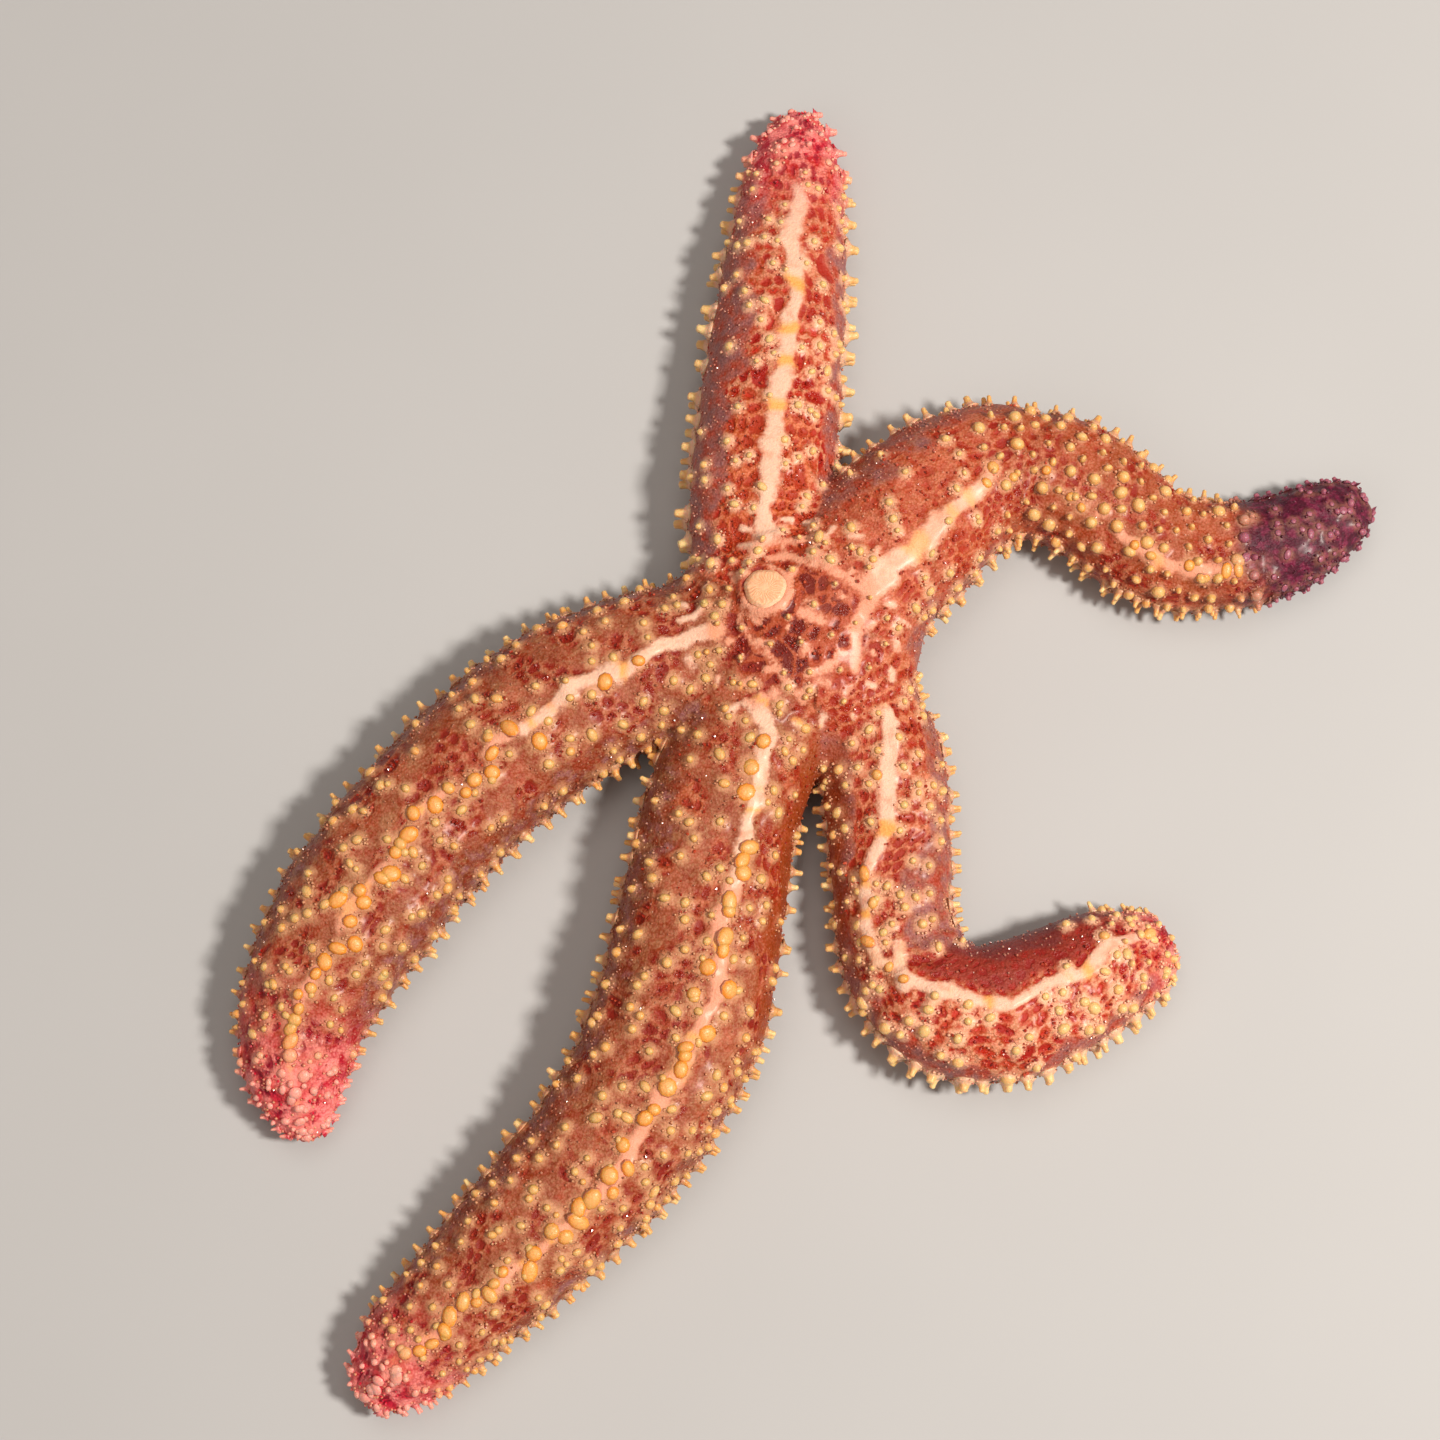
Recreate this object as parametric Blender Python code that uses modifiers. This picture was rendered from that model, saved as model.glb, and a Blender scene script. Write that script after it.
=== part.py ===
"""Common starfish (Asterias rubens), a life-size still model lying on its underside.

The arms are lettered a to e as on a real starfish: arm a lies opposite the sieve plate, and the
letters run counterclockwise seen from above. The frame is in metres, +Z up, with the floor at
z = 0, +Y towards arm c and the origin under the middle of the whole animal.
Every arm is a loft of one cross-section along a bending centre line. The disc is the five arm
roots and a dome joined together, and rows of blunt spines are joined to the flanks.
"""

import math

import bmesh
import bpy
import numpy as np
from mathutils import Matrix, Vector

# Whole animal
DISC_CENTRE = (-0.0027, 0.0123)  # where the centre lines of the arms meet
GAP = 0.0003  # between neighbouring pieces
RING_STEP = 0.0050  # largest spacing of the cross-sections
RING_CLEAR = 0.25  # the share of a ring step kept free before the first ring of a tip's rounding
LINE_STEP = 0.0005  # spacing of the points that the centre line is summed over
SHARP_ANGLE = 50.0  # edges sharper than this stay hard in the shading

# Disc
DOME_RADIUS = 0.0185
DOME_HEIGHT = 0.0172
DOME_CUT = 0.12  # the dome is cut off at this share of its height
DOME_SIDES = 24
DOME_RINGS = 12
ROOT_BACK = -0.0040  # each arm root starts this far behind the disc's centre
MOUTH_RADIUS = 0.0048
MOUTH_DEPTH = 0.0040
MOUTH_SINK = 0.0006  # the centre of the mouth's hollow lies this far below the floor
MOUTH_SIDES = 15
MOUTH_RINGS = 8
GROOVE_FROM = 0.0024  # the grooves of the arm roots start this far from the disc's centre
GROOVE_CARRY = 1.5  # a groove's cutter is this much wider than the groove, and as much lower
GROOVE_RINGS = 6

# Sieve plate, a low drum sunk in the disc between arms c and d
PLATE_RADIUS = 0.0029
PLATE_THICKNESS = 0.0022
PLATE_REACH = 0.0060  # from the disc's centre
PLATE_BEARING = 132.0
PLATE_TOP = 0.0171
PLATE_TILT = 9.0
PLATE_SIDES = 20
PLATE_RIM = 0.0005  # width of the rounding round its top and bottom
SEAT_HEADROOM = 0.0040  # how far the cutter of its seat stands above it

# Flank spines
SPINE_SPACING = 0.0030
SPINE_LENGTH = 0.0030
SPINE_PROUD = 0.0015  # how far a spine stands out of the flank
SPINE_BASE_RADIUS = 0.00085
SPINE_TIP_RADIUS = 0.00042
SPINE_SIDES = 4
SPINE_RISE = 12.0  # degrees above level
SPINE_SHRINK = 0.45  # the share of its length that a spine loses at the arm's tip
SPINE_STOP = 0.15  # no spine stands on this last share of the tip's rounding

# One half of the cross-section: (share of the half width, share of the height), from the roof of
# the groove underneath, over the flat that rests on the floor, the widest place and up to the ridge.
SECTION = (
    (0.00, 0.15),
    (0.17, 0.00),
    (0.60, 0.00),
    (0.90, 0.13),
    (1.00, 0.35),
    (0.94, 0.60),
    (0.74, 0.83),
    (0.40, 0.965),
    (0.00, 1.00),
)
WIDEST = 4  # its place in SECTION
HEIGHT_SHARE = 1.44  # height over half width at the arm's root
TIP_HEIGHT_SHARE = 1.30
COAT = 0.0007  # what the spines add to the half widths below
CROWD = 0.86  # in a tight bend the inner half width stays under this share of the radius
TIP_ROUND = 0.0120  # length over which the tip rounds off
TIP_TURNS = (0.0, 24.0, 46.0, 66.0, 81.0)  # degrees round that curve at which its rings stand
TIP_SHARE = 0.16  # the end face's share of the width before the rounding
TIP_RISE_LENGTH = 0.0180

# Each arm: the bearing it leaves the disc on, its bends as (distance out, turn in degrees, length
# of the bend), its length from the disc's centre, its half widths as (distance out, half width),
# how far the tip lifts off the floor, where its right and left flanks come free of its neighbours,
# where the disc ends, and the ends of the lengths that it is parted into.
ARMS = {
    "a": {
        "bearing": -41.0,
        "bends": ((0.015, -46.0, 0.030), (0.055, 112.0, 0.032)),
        "length": 0.0895,
        "half_widths": ((0.010, 0.0082), (0.026, 0.0085), (0.040, 0.0078), (0.056, 0.0094),
                        (0.066, 0.0093), (0.078, 0.0081), (0.090, 0.0062)),
        "tip_lift": 0.0012,
        "free_flanks": (0.0330, 0.0170),
        "start": 0.0285,
        "lengths": {"base": 0.0410, "elbow": 0.0570, "outer": 0.0730, "tip": 0.0895},
    },
    "b": {
        "bearing": 45.0,
        "bends": ((0.044, -120.0, 0.046), (0.060, 30.0, 0.012), (0.067, 76.0, 0.046)),
        "length": 0.0945,
        "half_widths": ((0.010, 0.0117), (0.022, 0.0116), (0.034, 0.0102), (0.044, 0.0090),
                        (0.062, 0.0081), (0.077, 0.0070), (0.090, 0.0058)),
        "tip_lift": 0.0022,
        "free_flanks": (0.0180, 0.0265),
        "start": 0.0245,
        "lengths": {"base": 0.0410, "elbow": 0.0580, "outer": 0.0760, "tip": 0.0945},
    },
    "c": {
        "bearing": 108.0,
        "bends": ((0.016, -24.0, 0.010),),
        "length": 0.0795,
        "half_widths": ((0.010, 0.0100), (0.030, 0.0098), (0.046, 0.0092), (0.058, 0.0084),
                        (0.068, 0.0068), (0.080, 0.0048)),
        "tip_lift": 0.0016,
        "free_flanks": (0.0305, 0.0185),
        "start": 0.0280,
        "lengths": {"base": 0.0430, "middle": 0.0620, "tip": 0.0795},
    },
    "d": {
        "bearing": 187.0,
        "bends": ((0.025, 34.0, 0.050), (0.064, 23.0, 0.060), (0.090, 37.0, 0.024)),
        "length": 0.1055,
        "half_widths": ((0.010, 0.0098), (0.033, 0.0111), (0.055, 0.0106), (0.072, 0.0106),
                        (0.084, 0.0092), (0.095, 0.0070), (0.106, 0.0042)),
        "tip_lift": 0.0014,
        "free_flanks": (0.0185, 0.0275),
        "start": 0.0255,
        "lengths": {"base": 0.0510, "middle": 0.0790, "tip": 0.1055},
    },
    "e": {
        "bearing": -113.0,
        "bends": ((0.026, 14.0, 0.010), (0.062, -36.0, 0.050)),
        "length": 0.1200,
        "half_widths": ((0.010, 0.0102), (0.030, 0.0105), (0.051, 0.0115), (0.068, 0.0107),
                        (0.085, 0.0097), (0.100, 0.0082), (0.120, 0.0058)),
        "tip_lift": 0.0010,
        "free_flanks": (0.0265, 0.0300),
        "start": 0.0255,
        "lengths": {"base": 0.0560, "middle": 0.0880, "tip": 0.1200},
    },
}

# Plain colours, one for each part of the body
DISC_COLOUR = (0.42, 0.12, 0.06)
PLATE_COLOUR = (0.85, 0.66, 0.48)
ARM_COLOURS = {"base": (0.45, 0.15, 0.08), "elbow": (0.48, 0.18, 0.11), "middle": (0.48, 0.18, 0.11),
               "outer": (0.50, 0.17, 0.12), "tip": (0.50, 0.09, 0.12)}


def clear_scene():
    for thing in list(bpy.data.objects):
        bpy.data.objects.remove(thing, do_unlink=True)


def new_collection(name):
    collection = bpy.data.collections.new(name)
    bpy.context.scene.collection.children.link(collection)
    return collection


def skin_material(name, colour, roughness=0.35):
    material = bpy.data.materials.new(name)
    material.use_nodes = True
    shader = material.node_tree.nodes["Principled BSDF"]
    shader.inputs["Base Color"].default_value = (*colour, 1.0)
    shader.inputs["Roughness"].default_value = roughness
    shader.inputs["Metallic"].default_value = 0.0
    return material


def ease(share):
    """0 to 1 with a level start and end."""
    share = np.clip(share, 0.0, 1.0)
    return share * share * (3.0 - 2.0 * share)


def headings(arm, distance):
    """The arm's heading in radians: its bearing and the part of each bend behind that distance."""
    heading = np.full_like(distance, math.radians(arm["bearing"]))
    for middle, turn, over in arm["bends"]:
        heading = heading + math.radians(turn) * ease((distance - middle + over / 2.0) / over)
    return heading


def centre_line(arm):
    """Distances out, positions, headings and curvatures along the arm, summed in small steps."""
    distance = np.arange(ROOT_BACK, arm["length"] + LINE_STEP, LINE_STEP)
    heading = headings(arm, distance)
    steps = np.stack([np.cos(heading), np.sin(heading)], axis=1) * LINE_STEP
    place = np.cumsum(steps, axis=0) - steps / 2.0
    from_centre = np.array([np.interp(0.0, distance, place[:, axis]) for axis in (0, 1)])
    place = place - from_centre + np.array(DISC_CENTRE)
    return distance, place, heading, np.gradient(heading, distance)


def rounded_half_width(arm, distance):
    """The half width through the arm's named ones, rounded off at the tip."""
    out, half = zip(*arm["half_widths"])
    plain = float(np.interp(distance, out, half)) + COAT
    into_tip = (distance - (arm["length"] - TIP_ROUND)) / TIP_ROUND
    if into_tip <= 0.0:
        return plain
    return plain * max(TIP_SHARE, math.sqrt(max(0.0, 1.0 - into_tip * into_tip)))


class Station:
    """One place along an arm: where it is, which way it heads, how wide, high and lifted it is."""

    def __init__(self, arm, line, distance):
        distances, place, heading, bend = line
        self.x, self.y = (float(np.interp(distance, distances, place[:, axis])) for axis in (0, 1))
        self.heading = float(np.interp(distance, distances, heading))
        self.half = rounded_half_width(arm, distance)
        share = max(0.0, distance) / arm["length"]
        self.height = self.half * (HEIGHT_SHARE + (TIP_HEIGHT_SHARE - HEIGHT_SHARE) * share)
        rise = float(ease((distance - arm["length"] + TIP_RISE_LENGTH) / TIP_RISE_LENGTH))
        self.lift = arm["tip_lift"] * rise
        self.bend = float(np.interp(distance, distances, bend))

    def reach(self, side):
        """The half width on one side (+1 left, -1 right), less on the inside of a tight bend."""
        if self.bend * side <= 0.0:
            return self.half
        room = CROWD / abs(self.bend)
        return (self.half**-6 + room**-6) ** (-1.0 / 6.0)

    def point(self, side, across, up):
        """A point of the cross-section, from its shares of the half width and of the height."""
        out = side * across * self.reach(side)
        return Vector((
            self.x - out * math.sin(self.heading),
            self.y + out * math.cos(self.heading),
            self.lift + up * self.height,
        ))


def ring_points(station, grooved=True):
    """The closed cross-section; without its groove the underside is flat right across."""
    roof = station.point(-1.0, *(SECTION[0] if grooved else (0.0, 0.0)))
    right = [station.point(-1.0, across, up) for across, up in SECTION[1:]]
    left = [station.point(1.0, across, up) for across, up in SECTION[-2:0:-1]]
    return [roof] + right + left


def mesh_object(name, built, collection, material=None):
    """Turns the bmesh into an object, shaded smooth apart from its sharp edges."""
    mesh = bpy.data.meshes.new(name)
    built.to_mesh(mesh)
    built.free()
    if material:
        mesh.materials.append(material)
        mesh.shade_smooth()
        mesh.set_sharp_from_angle(angle=math.radians(SHARP_ANGLE))
    thing = bpy.data.objects.new(name, mesh)
    collection.objects.link(thing)
    return thing


def helper(thing):
    """Marks an object that only cuts or joins others."""
    thing.display_type = "WIRE"
    thing.hide_render = True
    return thing


def boolean(thing, other, operation):
    modifier = thing.modifiers.new(f"{operation.lower()} {other.name}", "BOOLEAN")
    modifier.operation = operation
    modifier.solver = "EXACT"
    modifier.object = other


def skinned(rings):
    """A closed bmesh over rings of equally many points, with an end face on the first and last."""
    built = bmesh.new()
    rings = [[built.verts.new(point) for point in ring] for ring in rings]
    around = len(rings[0])
    for first, second in zip(rings, rings[1:]):
        for i in range(around):
            j = (i + 1) % around
            built.faces.new((first[i], first[j], second[j], second[i]))
    built.faces.new(rings[0][::-1])
    built.faces.new(rings[-1])
    bmesh.ops.recalc_face_normals(built, faces=built.faces)
    return built


def arm_loft(arm, line, start, end, grooved=True):
    """A closed bmesh through the arm's cross-sections from one distance to another."""
    count = max(2, math.ceil((end - start) / RING_STEP) + 1)
    distances = list(np.linspace(start, end, count))
    round_start = arm["length"] - TIP_ROUND
    if end > round_start:
        # the rounding of the tip is turned in equal angles, so that its rings crowd at the end
        angles = np.radians(TIP_TURNS)
        distances = [s for s in distances if s < round_start - RING_CLEAR * RING_STEP]
        distances += [round_start + TIP_ROUND * math.sin(angle) for angle in angles]
    return skinned([ring_points(Station(arm, line, s), grooved) for s in distances])


def add_spine(built, arm, line, distance, side):
    """A blunt spine that leaves the flank at its widest place, square to the arm."""
    station = Station(arm, line, distance)
    small = 1.0 - SPINE_SHRINK * max(0.0, distance) / arm["length"]
    across, up = SECTION[WIDEST]
    root = station.point(side, across, up)
    outward = station.heading + side * math.pi / 2.0
    rise = math.radians(SPINE_RISE)
    way = Vector((math.cos(outward) * math.cos(rise), math.sin(outward) * math.cos(rise), math.sin(rise)))
    middle = root + way * (SPINE_PROUD * small - SPINE_LENGTH / 2.0)
    turn = way.to_track_quat("Z", "Y").to_matrix().to_4x4()
    bmesh.ops.create_cone(
        built,
        cap_ends=True,
        segments=SPINE_SIDES,
        radius1=SPINE_BASE_RADIUS * small,
        radius2=SPINE_TIP_RADIUS * small,
        depth=SPINE_LENGTH,
        matrix=Matrix.Translation(middle) @ turn,
    )


def spine_places(arm, line, side):
    """Distances out at which the spines of one flank stand, evenly spaced along the flank itself."""
    free = arm["free_flanks"][0 if side < 0.0 else 1]
    distances = np.arange(free, arm["length"] - TIP_ROUND * SPINE_STOP, LINE_STEP)
    stations = [Station(arm, line, float(distance)) for distance in distances]
    stretch = [1.0 - station.bend * side * station.reach(side) for station in stations]
    along = np.cumsum(stretch) * LINE_STEP
    return np.interp(np.arange(along[0], along[-1], SPINE_SPACING), along, distances)


def spine_row(name, arm, line, start, end, cutters):
    """All the flank spines between two distances, as one helper."""
    built = bmesh.new()
    for side in (-1.0, 1.0):
        for distance in spine_places(arm, line, side):
            if start + SPINE_BASE_RADIUS < distance < end - SPINE_BASE_RADIUS:
                add_spine(built, arm, line, float(distance), side)
    if not built.verts:
        return None
    return helper(mesh_object(name, built, cutters))


def arm_lengths(letter, arm, line, parts, cutters):
    """One node for each length of the arm, with a gap between neighbours."""
    start = arm["start"]
    for label, end in arm["lengths"].items():
        name = f"arm_{letter}_{label}"
        last = end == arm["length"]
        inner, outer = start + GAP / 2.0, end - (0.0 if last else GAP / 2.0)
        material = skin_material(name, ARM_COLOURS[label])
        length = mesh_object(name, arm_loft(arm, line, inner, outer), parts, material)
        boolean(length, spine_row(f"spines of {name}", arm, line, inner, outer, cutters), "UNION")
        start = end


def dome(cutters):
    """The upper half of the disc, an ellipsoid cut off at the floor."""
    built = bmesh.new()
    squash = Matrix.Diagonal((1.0, 1.0, DOME_HEIGHT / DOME_RADIUS, 1.0))
    shape = Matrix.Translation((*DISC_CENTRE, 0.0)) @ squash
    bmesh.ops.create_uvsphere(
        built, u_segments=DOME_SIDES, v_segments=DOME_RINGS, radius=DOME_RADIUS, matrix=shape
    )
    cut = bmesh.ops.bisect_plane(
        built,
        geom=built.verts[:] + built.edges[:] + built.faces[:],
        plane_co=(0.0, 0.0, DOME_HEIGHT * DOME_CUT),
        plane_no=(0.0, 0.0, -1.0),
        clear_outer=True,
    )
    rim = [edge for edge in cut["geom_cut"] if isinstance(edge, bmesh.types.BMEdge)]
    bmesh.ops.holes_fill(built, edges=rim)
    bmesh.ops.recalc_face_normals(built, faces=built.faces)
    return helper(mesh_object("dome", built, cutters))


def groove_cutter(letter, arm, line, cutters):
    """A three-sided bar along the underside, from the mouth to the end of the arm's root.

    It has the slope of the groove in the arm's own cross-section, carried on below the floor."""
    roof, edge = SECTION[0][1], SECTION[1][0]
    wide, low = edge * GROOVE_CARRY, roof * (1.0 - GROOVE_CARRY)
    corners = ((0.0, roof), (wide, low), (-wide, low))
    rings = []
    for distance in np.linspace(GROOVE_FROM, arm["start"] + GAP, GROOVE_RINGS):
        station = Station(arm, line, float(distance))
        rings.append([station.point(1.0, across, up) for across, up in corners])
    return helper(mesh_object(f"groove of arm {letter}", skinned(rings), cutters))


def mouth_cutter(cutters):
    built = bmesh.new()
    squash = Matrix.Diagonal((1.0, 1.0, MOUTH_DEPTH / MOUTH_RADIUS, 1.0))
    shape = Matrix.Translation((*DISC_CENTRE, -MOUTH_SINK)) @ squash
    bmesh.ops.create_uvsphere(
        built, u_segments=MOUTH_SIDES, v_segments=MOUTH_RINGS, radius=MOUTH_RADIUS, matrix=shape
    )
    return helper(mesh_object("mouth", built, cutters))


def plate_place():
    """The sieve plate's place on the disc, tilted to follow the dome."""
    bearing = math.radians(PLATE_BEARING)
    tilt_axis = (-math.sin(bearing), math.cos(bearing), 0.0)
    centre = Vector((
        DISC_CENTRE[0] + PLATE_REACH * math.cos(bearing),
        DISC_CENTRE[1] + PLATE_REACH * math.sin(bearing),
        PLATE_TOP - PLATE_THICKNESS / 2.0,
    ))
    return Matrix.Translation(centre) @ Matrix.Rotation(math.radians(PLATE_TILT), 4, tilt_axis)


def drum(name, radius, depth, collection, material=None, lift=0.0):
    built = bmesh.new()
    bmesh.ops.create_cone(
        built,
        cap_ends=True,
        segments=PLATE_SIDES,
        radius1=radius,
        radius2=radius,
        depth=depth,
        matrix=plate_place() @ Matrix.Translation((0.0, 0.0, lift)),
    )
    return mesh_object(name, built, collection, material)


def sieve_plate(parts):
    """The madreporite: a low drum with a bevelled rim."""
    material = skin_material("sieve_plate", PLATE_COLOUR)
    plate = drum("sieve_plate", PLATE_RADIUS, PLATE_THICKNESS, parts, material)
    rim = plate.modifiers.new("rounded rim", "BEVEL")
    rim.width = PLATE_RIM
    rim.segments = 2


def seat_cutter(cutters):
    """The seat that the sieve plate sits in, a gap wider and deeper, and open upwards."""
    depth = PLATE_THICKNESS + GAP + SEAT_HEADROOM
    lift = (SEAT_HEADROOM - GAP) / 2.0
    return helper(drum("seat of the sieve plate", PLATE_RADIUS + GAP, depth, cutters, lift=lift))


def disc(lines, parts, cutters):
    """The five arm roots and the dome in one, with the grooves, the mouth and the plate's seat cut in."""
    body = None
    for letter, line in lines.items():
        arm = ARMS[letter]
        end = arm["start"] - GAP / 2.0
        root = arm_loft(arm, line, ROOT_BACK, end, grooved=False)
        if body is None:
            body = mesh_object("disc", root, parts, skin_material("disc", DISC_COLOUR))
        else:
            boolean(body, helper(mesh_object(f"root of arm {letter}", root, cutters)), "UNION")
    boolean(body, dome(cutters), "UNION")
    for letter, line in lines.items():
        arm = ARMS[letter]
        row = spine_row(f"spines of root {letter}", arm, line, 0.0, arm["start"] - GAP / 2.0, cutters)
        if row:
            boolean(body, row, "UNION")
        boolean(body, groove_cutter(letter, arm, line, cutters), "DIFFERENCE")
    boolean(body, mouth_cutter(cutters), "DIFFERENCE")
    boolean(body, seat_cutter(cutters), "DIFFERENCE")


def main():
    clear_scene()
    parts = new_collection("starfish")
    cutters = new_collection("starfish cutters")
    lines = {letter: centre_line(arm) for letter, arm in ARMS.items()}
    disc(lines, parts, cutters)
    sieve_plate(parts)
    for letter, arm in ARMS.items():
        arm_lengths(letter, arm, lines[letter], parts, cutters)


main()
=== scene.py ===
# A common starfish on a pale studio floor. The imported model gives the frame; one skin stands for its
# solids of flesh, and the coat of spines, gills, pincers and tube feet grows on that skin.
import math
import bpy
import numpy as np
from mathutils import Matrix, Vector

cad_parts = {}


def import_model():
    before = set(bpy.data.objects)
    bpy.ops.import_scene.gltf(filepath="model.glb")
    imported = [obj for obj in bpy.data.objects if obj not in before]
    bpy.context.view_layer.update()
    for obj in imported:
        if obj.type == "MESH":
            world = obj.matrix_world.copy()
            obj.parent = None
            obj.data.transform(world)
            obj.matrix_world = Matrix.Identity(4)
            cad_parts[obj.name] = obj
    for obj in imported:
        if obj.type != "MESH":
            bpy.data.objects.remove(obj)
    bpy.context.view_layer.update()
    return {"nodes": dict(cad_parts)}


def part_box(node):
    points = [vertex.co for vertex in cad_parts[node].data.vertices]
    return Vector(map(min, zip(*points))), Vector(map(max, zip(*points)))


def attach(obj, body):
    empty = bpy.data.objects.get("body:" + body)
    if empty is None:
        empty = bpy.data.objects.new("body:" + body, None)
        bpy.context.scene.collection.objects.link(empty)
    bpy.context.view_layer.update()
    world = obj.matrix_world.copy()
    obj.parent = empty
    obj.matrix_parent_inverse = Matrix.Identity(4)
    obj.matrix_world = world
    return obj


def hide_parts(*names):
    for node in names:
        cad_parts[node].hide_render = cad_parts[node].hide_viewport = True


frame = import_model()
mm = 0.001  # sizes below are in millimetres and become metres when a mesh is made
standard = 10.0  # sizes of cells, spines and rows are given for this half width of an arm
dice = np.random.default_rng(11)
flesh = [node for node in frame["nodes"] if node != "sieve_plate"]
print("frame: %d nodes" % len(frame["nodes"]))

# the animal's build

body = {
    "discCentre": (-2.7, 12.3),
    "rootBack": -4.0,         # each arm starts this far behind the disc's centre
    "lineStep": 0.25,
    "widthBlur": 20,          # steps on either side over which the half widths are smoothed
    "domeRadius": 17.6,
    "domeTop": 16.4,
    "floorCoat": 0.85,        # the skin's underside stands this high on its tube feet and spines
    "topCoat": 0.95,          # and its top lies this far under the tips of the back's spines
    "sideCoat": 0.15,
    "heightShare": 1.44,
    "tipHeightShare": 1.30,
    "widthExtra": 0.7,        # added to the half width before the height is worked out from it
    "widest": 0.36,           # share of the height at which an arm is widest
    "backPower": 2.3,
    "underPower": 3.0,
    "grooveHalf": 2.3,
    "grooveDepth": 2.7,
    "crowd": 0.86,            # inside a tight bend the half width stays under this share of the radius
    "tipRound": 12.0,
    "tipThick": 0.25,         # share of the height that is left at the very end of an arm
    "tipRiseLength": 18.0,
}

# Each arm: its bearing, its bends (distance out, turn, over), its length, its half widths (distance
# out, half width) and the lift of its tip. tipCoat is how far the skin ends inside the solids, cell
# scales the pits, and ridge is where the pale stripe wanders to the left (+) or right (-) of the
# arm's middle, by distance out.
arms = {
    "a": {
        "bearing": -41.0, "bends": ((15.0, -46.0, 30.0), (55.0, 112.0, 32.0)), "length": 89.5,
        "halfWidths": ((10, 8.2), (26, 8.5), (40, 7.8), (56, 9.4), (66, 9.3), (78, 8.1), (90, 6.2)),
        "tipLift": 1.2, "tipCoat": 0.9, "cell": 1.08,
        "ridge": ((10, 3), (16, 3), (23, 0), (31, -0.5), (37, -5), (47, -6), (50, -2.5), (55, 0.5),
                  (58, 1), (64, -0.5), (69, 1.5), (74, 0.5), (79, 3), (90, 3)),
    },
    "b": {
        "bearing": 45.0, "bends": ((44.0, -120.0, 46.0), (60.0, 30.0, 12.0), (67.0, 76.0, 46.0)),
        "length": 94.5,
        "halfWidths": ((10, 11.7), (22, 11.6), (34, 10.2), (44, 9.0), (62, 8.1), (77, 7.0), (90, 5.8)),
        "tipLift": 2.2, "tipCoat": 1.1, "cell": 1.0,
        "ridge": ((8, -4), (14, -4), (18, -5), (30, -4.5), (35, -2.5), (42, -2), (48, -4), (60, -4),
                  (66, -5), (74, -3.5), (90, -1)),
    },
    "c": {
        "bearing": 108.0, "bends": ((16.0, -24.0, 10.0),), "length": 79.5,
        "halfWidths": ((10, 10.0), (30, 9.8), (46, 9.2), (58, 8.4), (68, 6.8), (80, 4.8)),
        "tipLift": 1.6, "tipCoat": 0.4, "cell": 1.26,
        "ridge": ((8, 0), (14, 0), (19, -1), (33, -1), (38, -2), (49, -2.5), (57, 0), (61, -1.5),
                  (66, -0.5), (80, 0)),
    },
    "d": {
        "bearing": 187.0, "bends": ((25.0, 34.0, 50.0), (64.0, 23.0, 60.0), (90.0, 37.0, 24.0)),
        "length": 105.5,
        "halfWidths": ((10, 9.8), (33, 11.1), (55, 10.6), (72, 10.6), (84, 9.2), (95, 7.0), (106, 4.2)),
        "tipLift": 1.4, "tipCoat": 0.9, "cell": 1.15,
        "ridge": ((8, -0.5), (18, -0.5), (24, 1.5), (31, 0), (38, 2), (44, 0.5), (49, 2.5), (56, -0.5),
                  (64, 1), (73, 0.5), (78, 1.5), (86, 0), (106, 0)),
    },
    "e": {
        "bearing": -113.0, "bends": ((26.0, 14.0, 10.0), (62.0, -36.0, 50.0)), "length": 120.0,
        "halfWidths": ((10, 10.2), (30, 10.5), (51, 11.5), (68, 10.7), (85, 9.7), (100, 8.2), (120, 5.8)),
        "tipLift": 1.0, "tipCoat": 1.0, "cell": 1.15,
        "ridge": ((8, 0), (12, 0), (15, 3), (24, 5), (35, 5.5), (40, 3.5), (45, 4), (51, 5.5),
                  (57, 3.5), (61, 4.5), (65, 3), (75, 4.5), (88, 4.5), (94, 3), (99, 3.5), (106, 1.5),
                  (120, 0)),
    },
}
letters = list(arms)


# Each arm's own value, given in the arms' order.
def byLetter(*values):
    return dict(zip(letters, values))


# 0 to 1 with a level start and end: 3 t squared less 2 t cubed.
def ease(share):
    share = np.clip(share, 0.0, 1.0)
    return share * share * (3.0 - 2.0 * share)


# 1 between two distances, easing to 0 over a margin on either side.
def window(value, low, high, margin):
    return ease((value - low) / margin + 0.5) * ease((high - value) / margin + 0.5)


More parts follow.
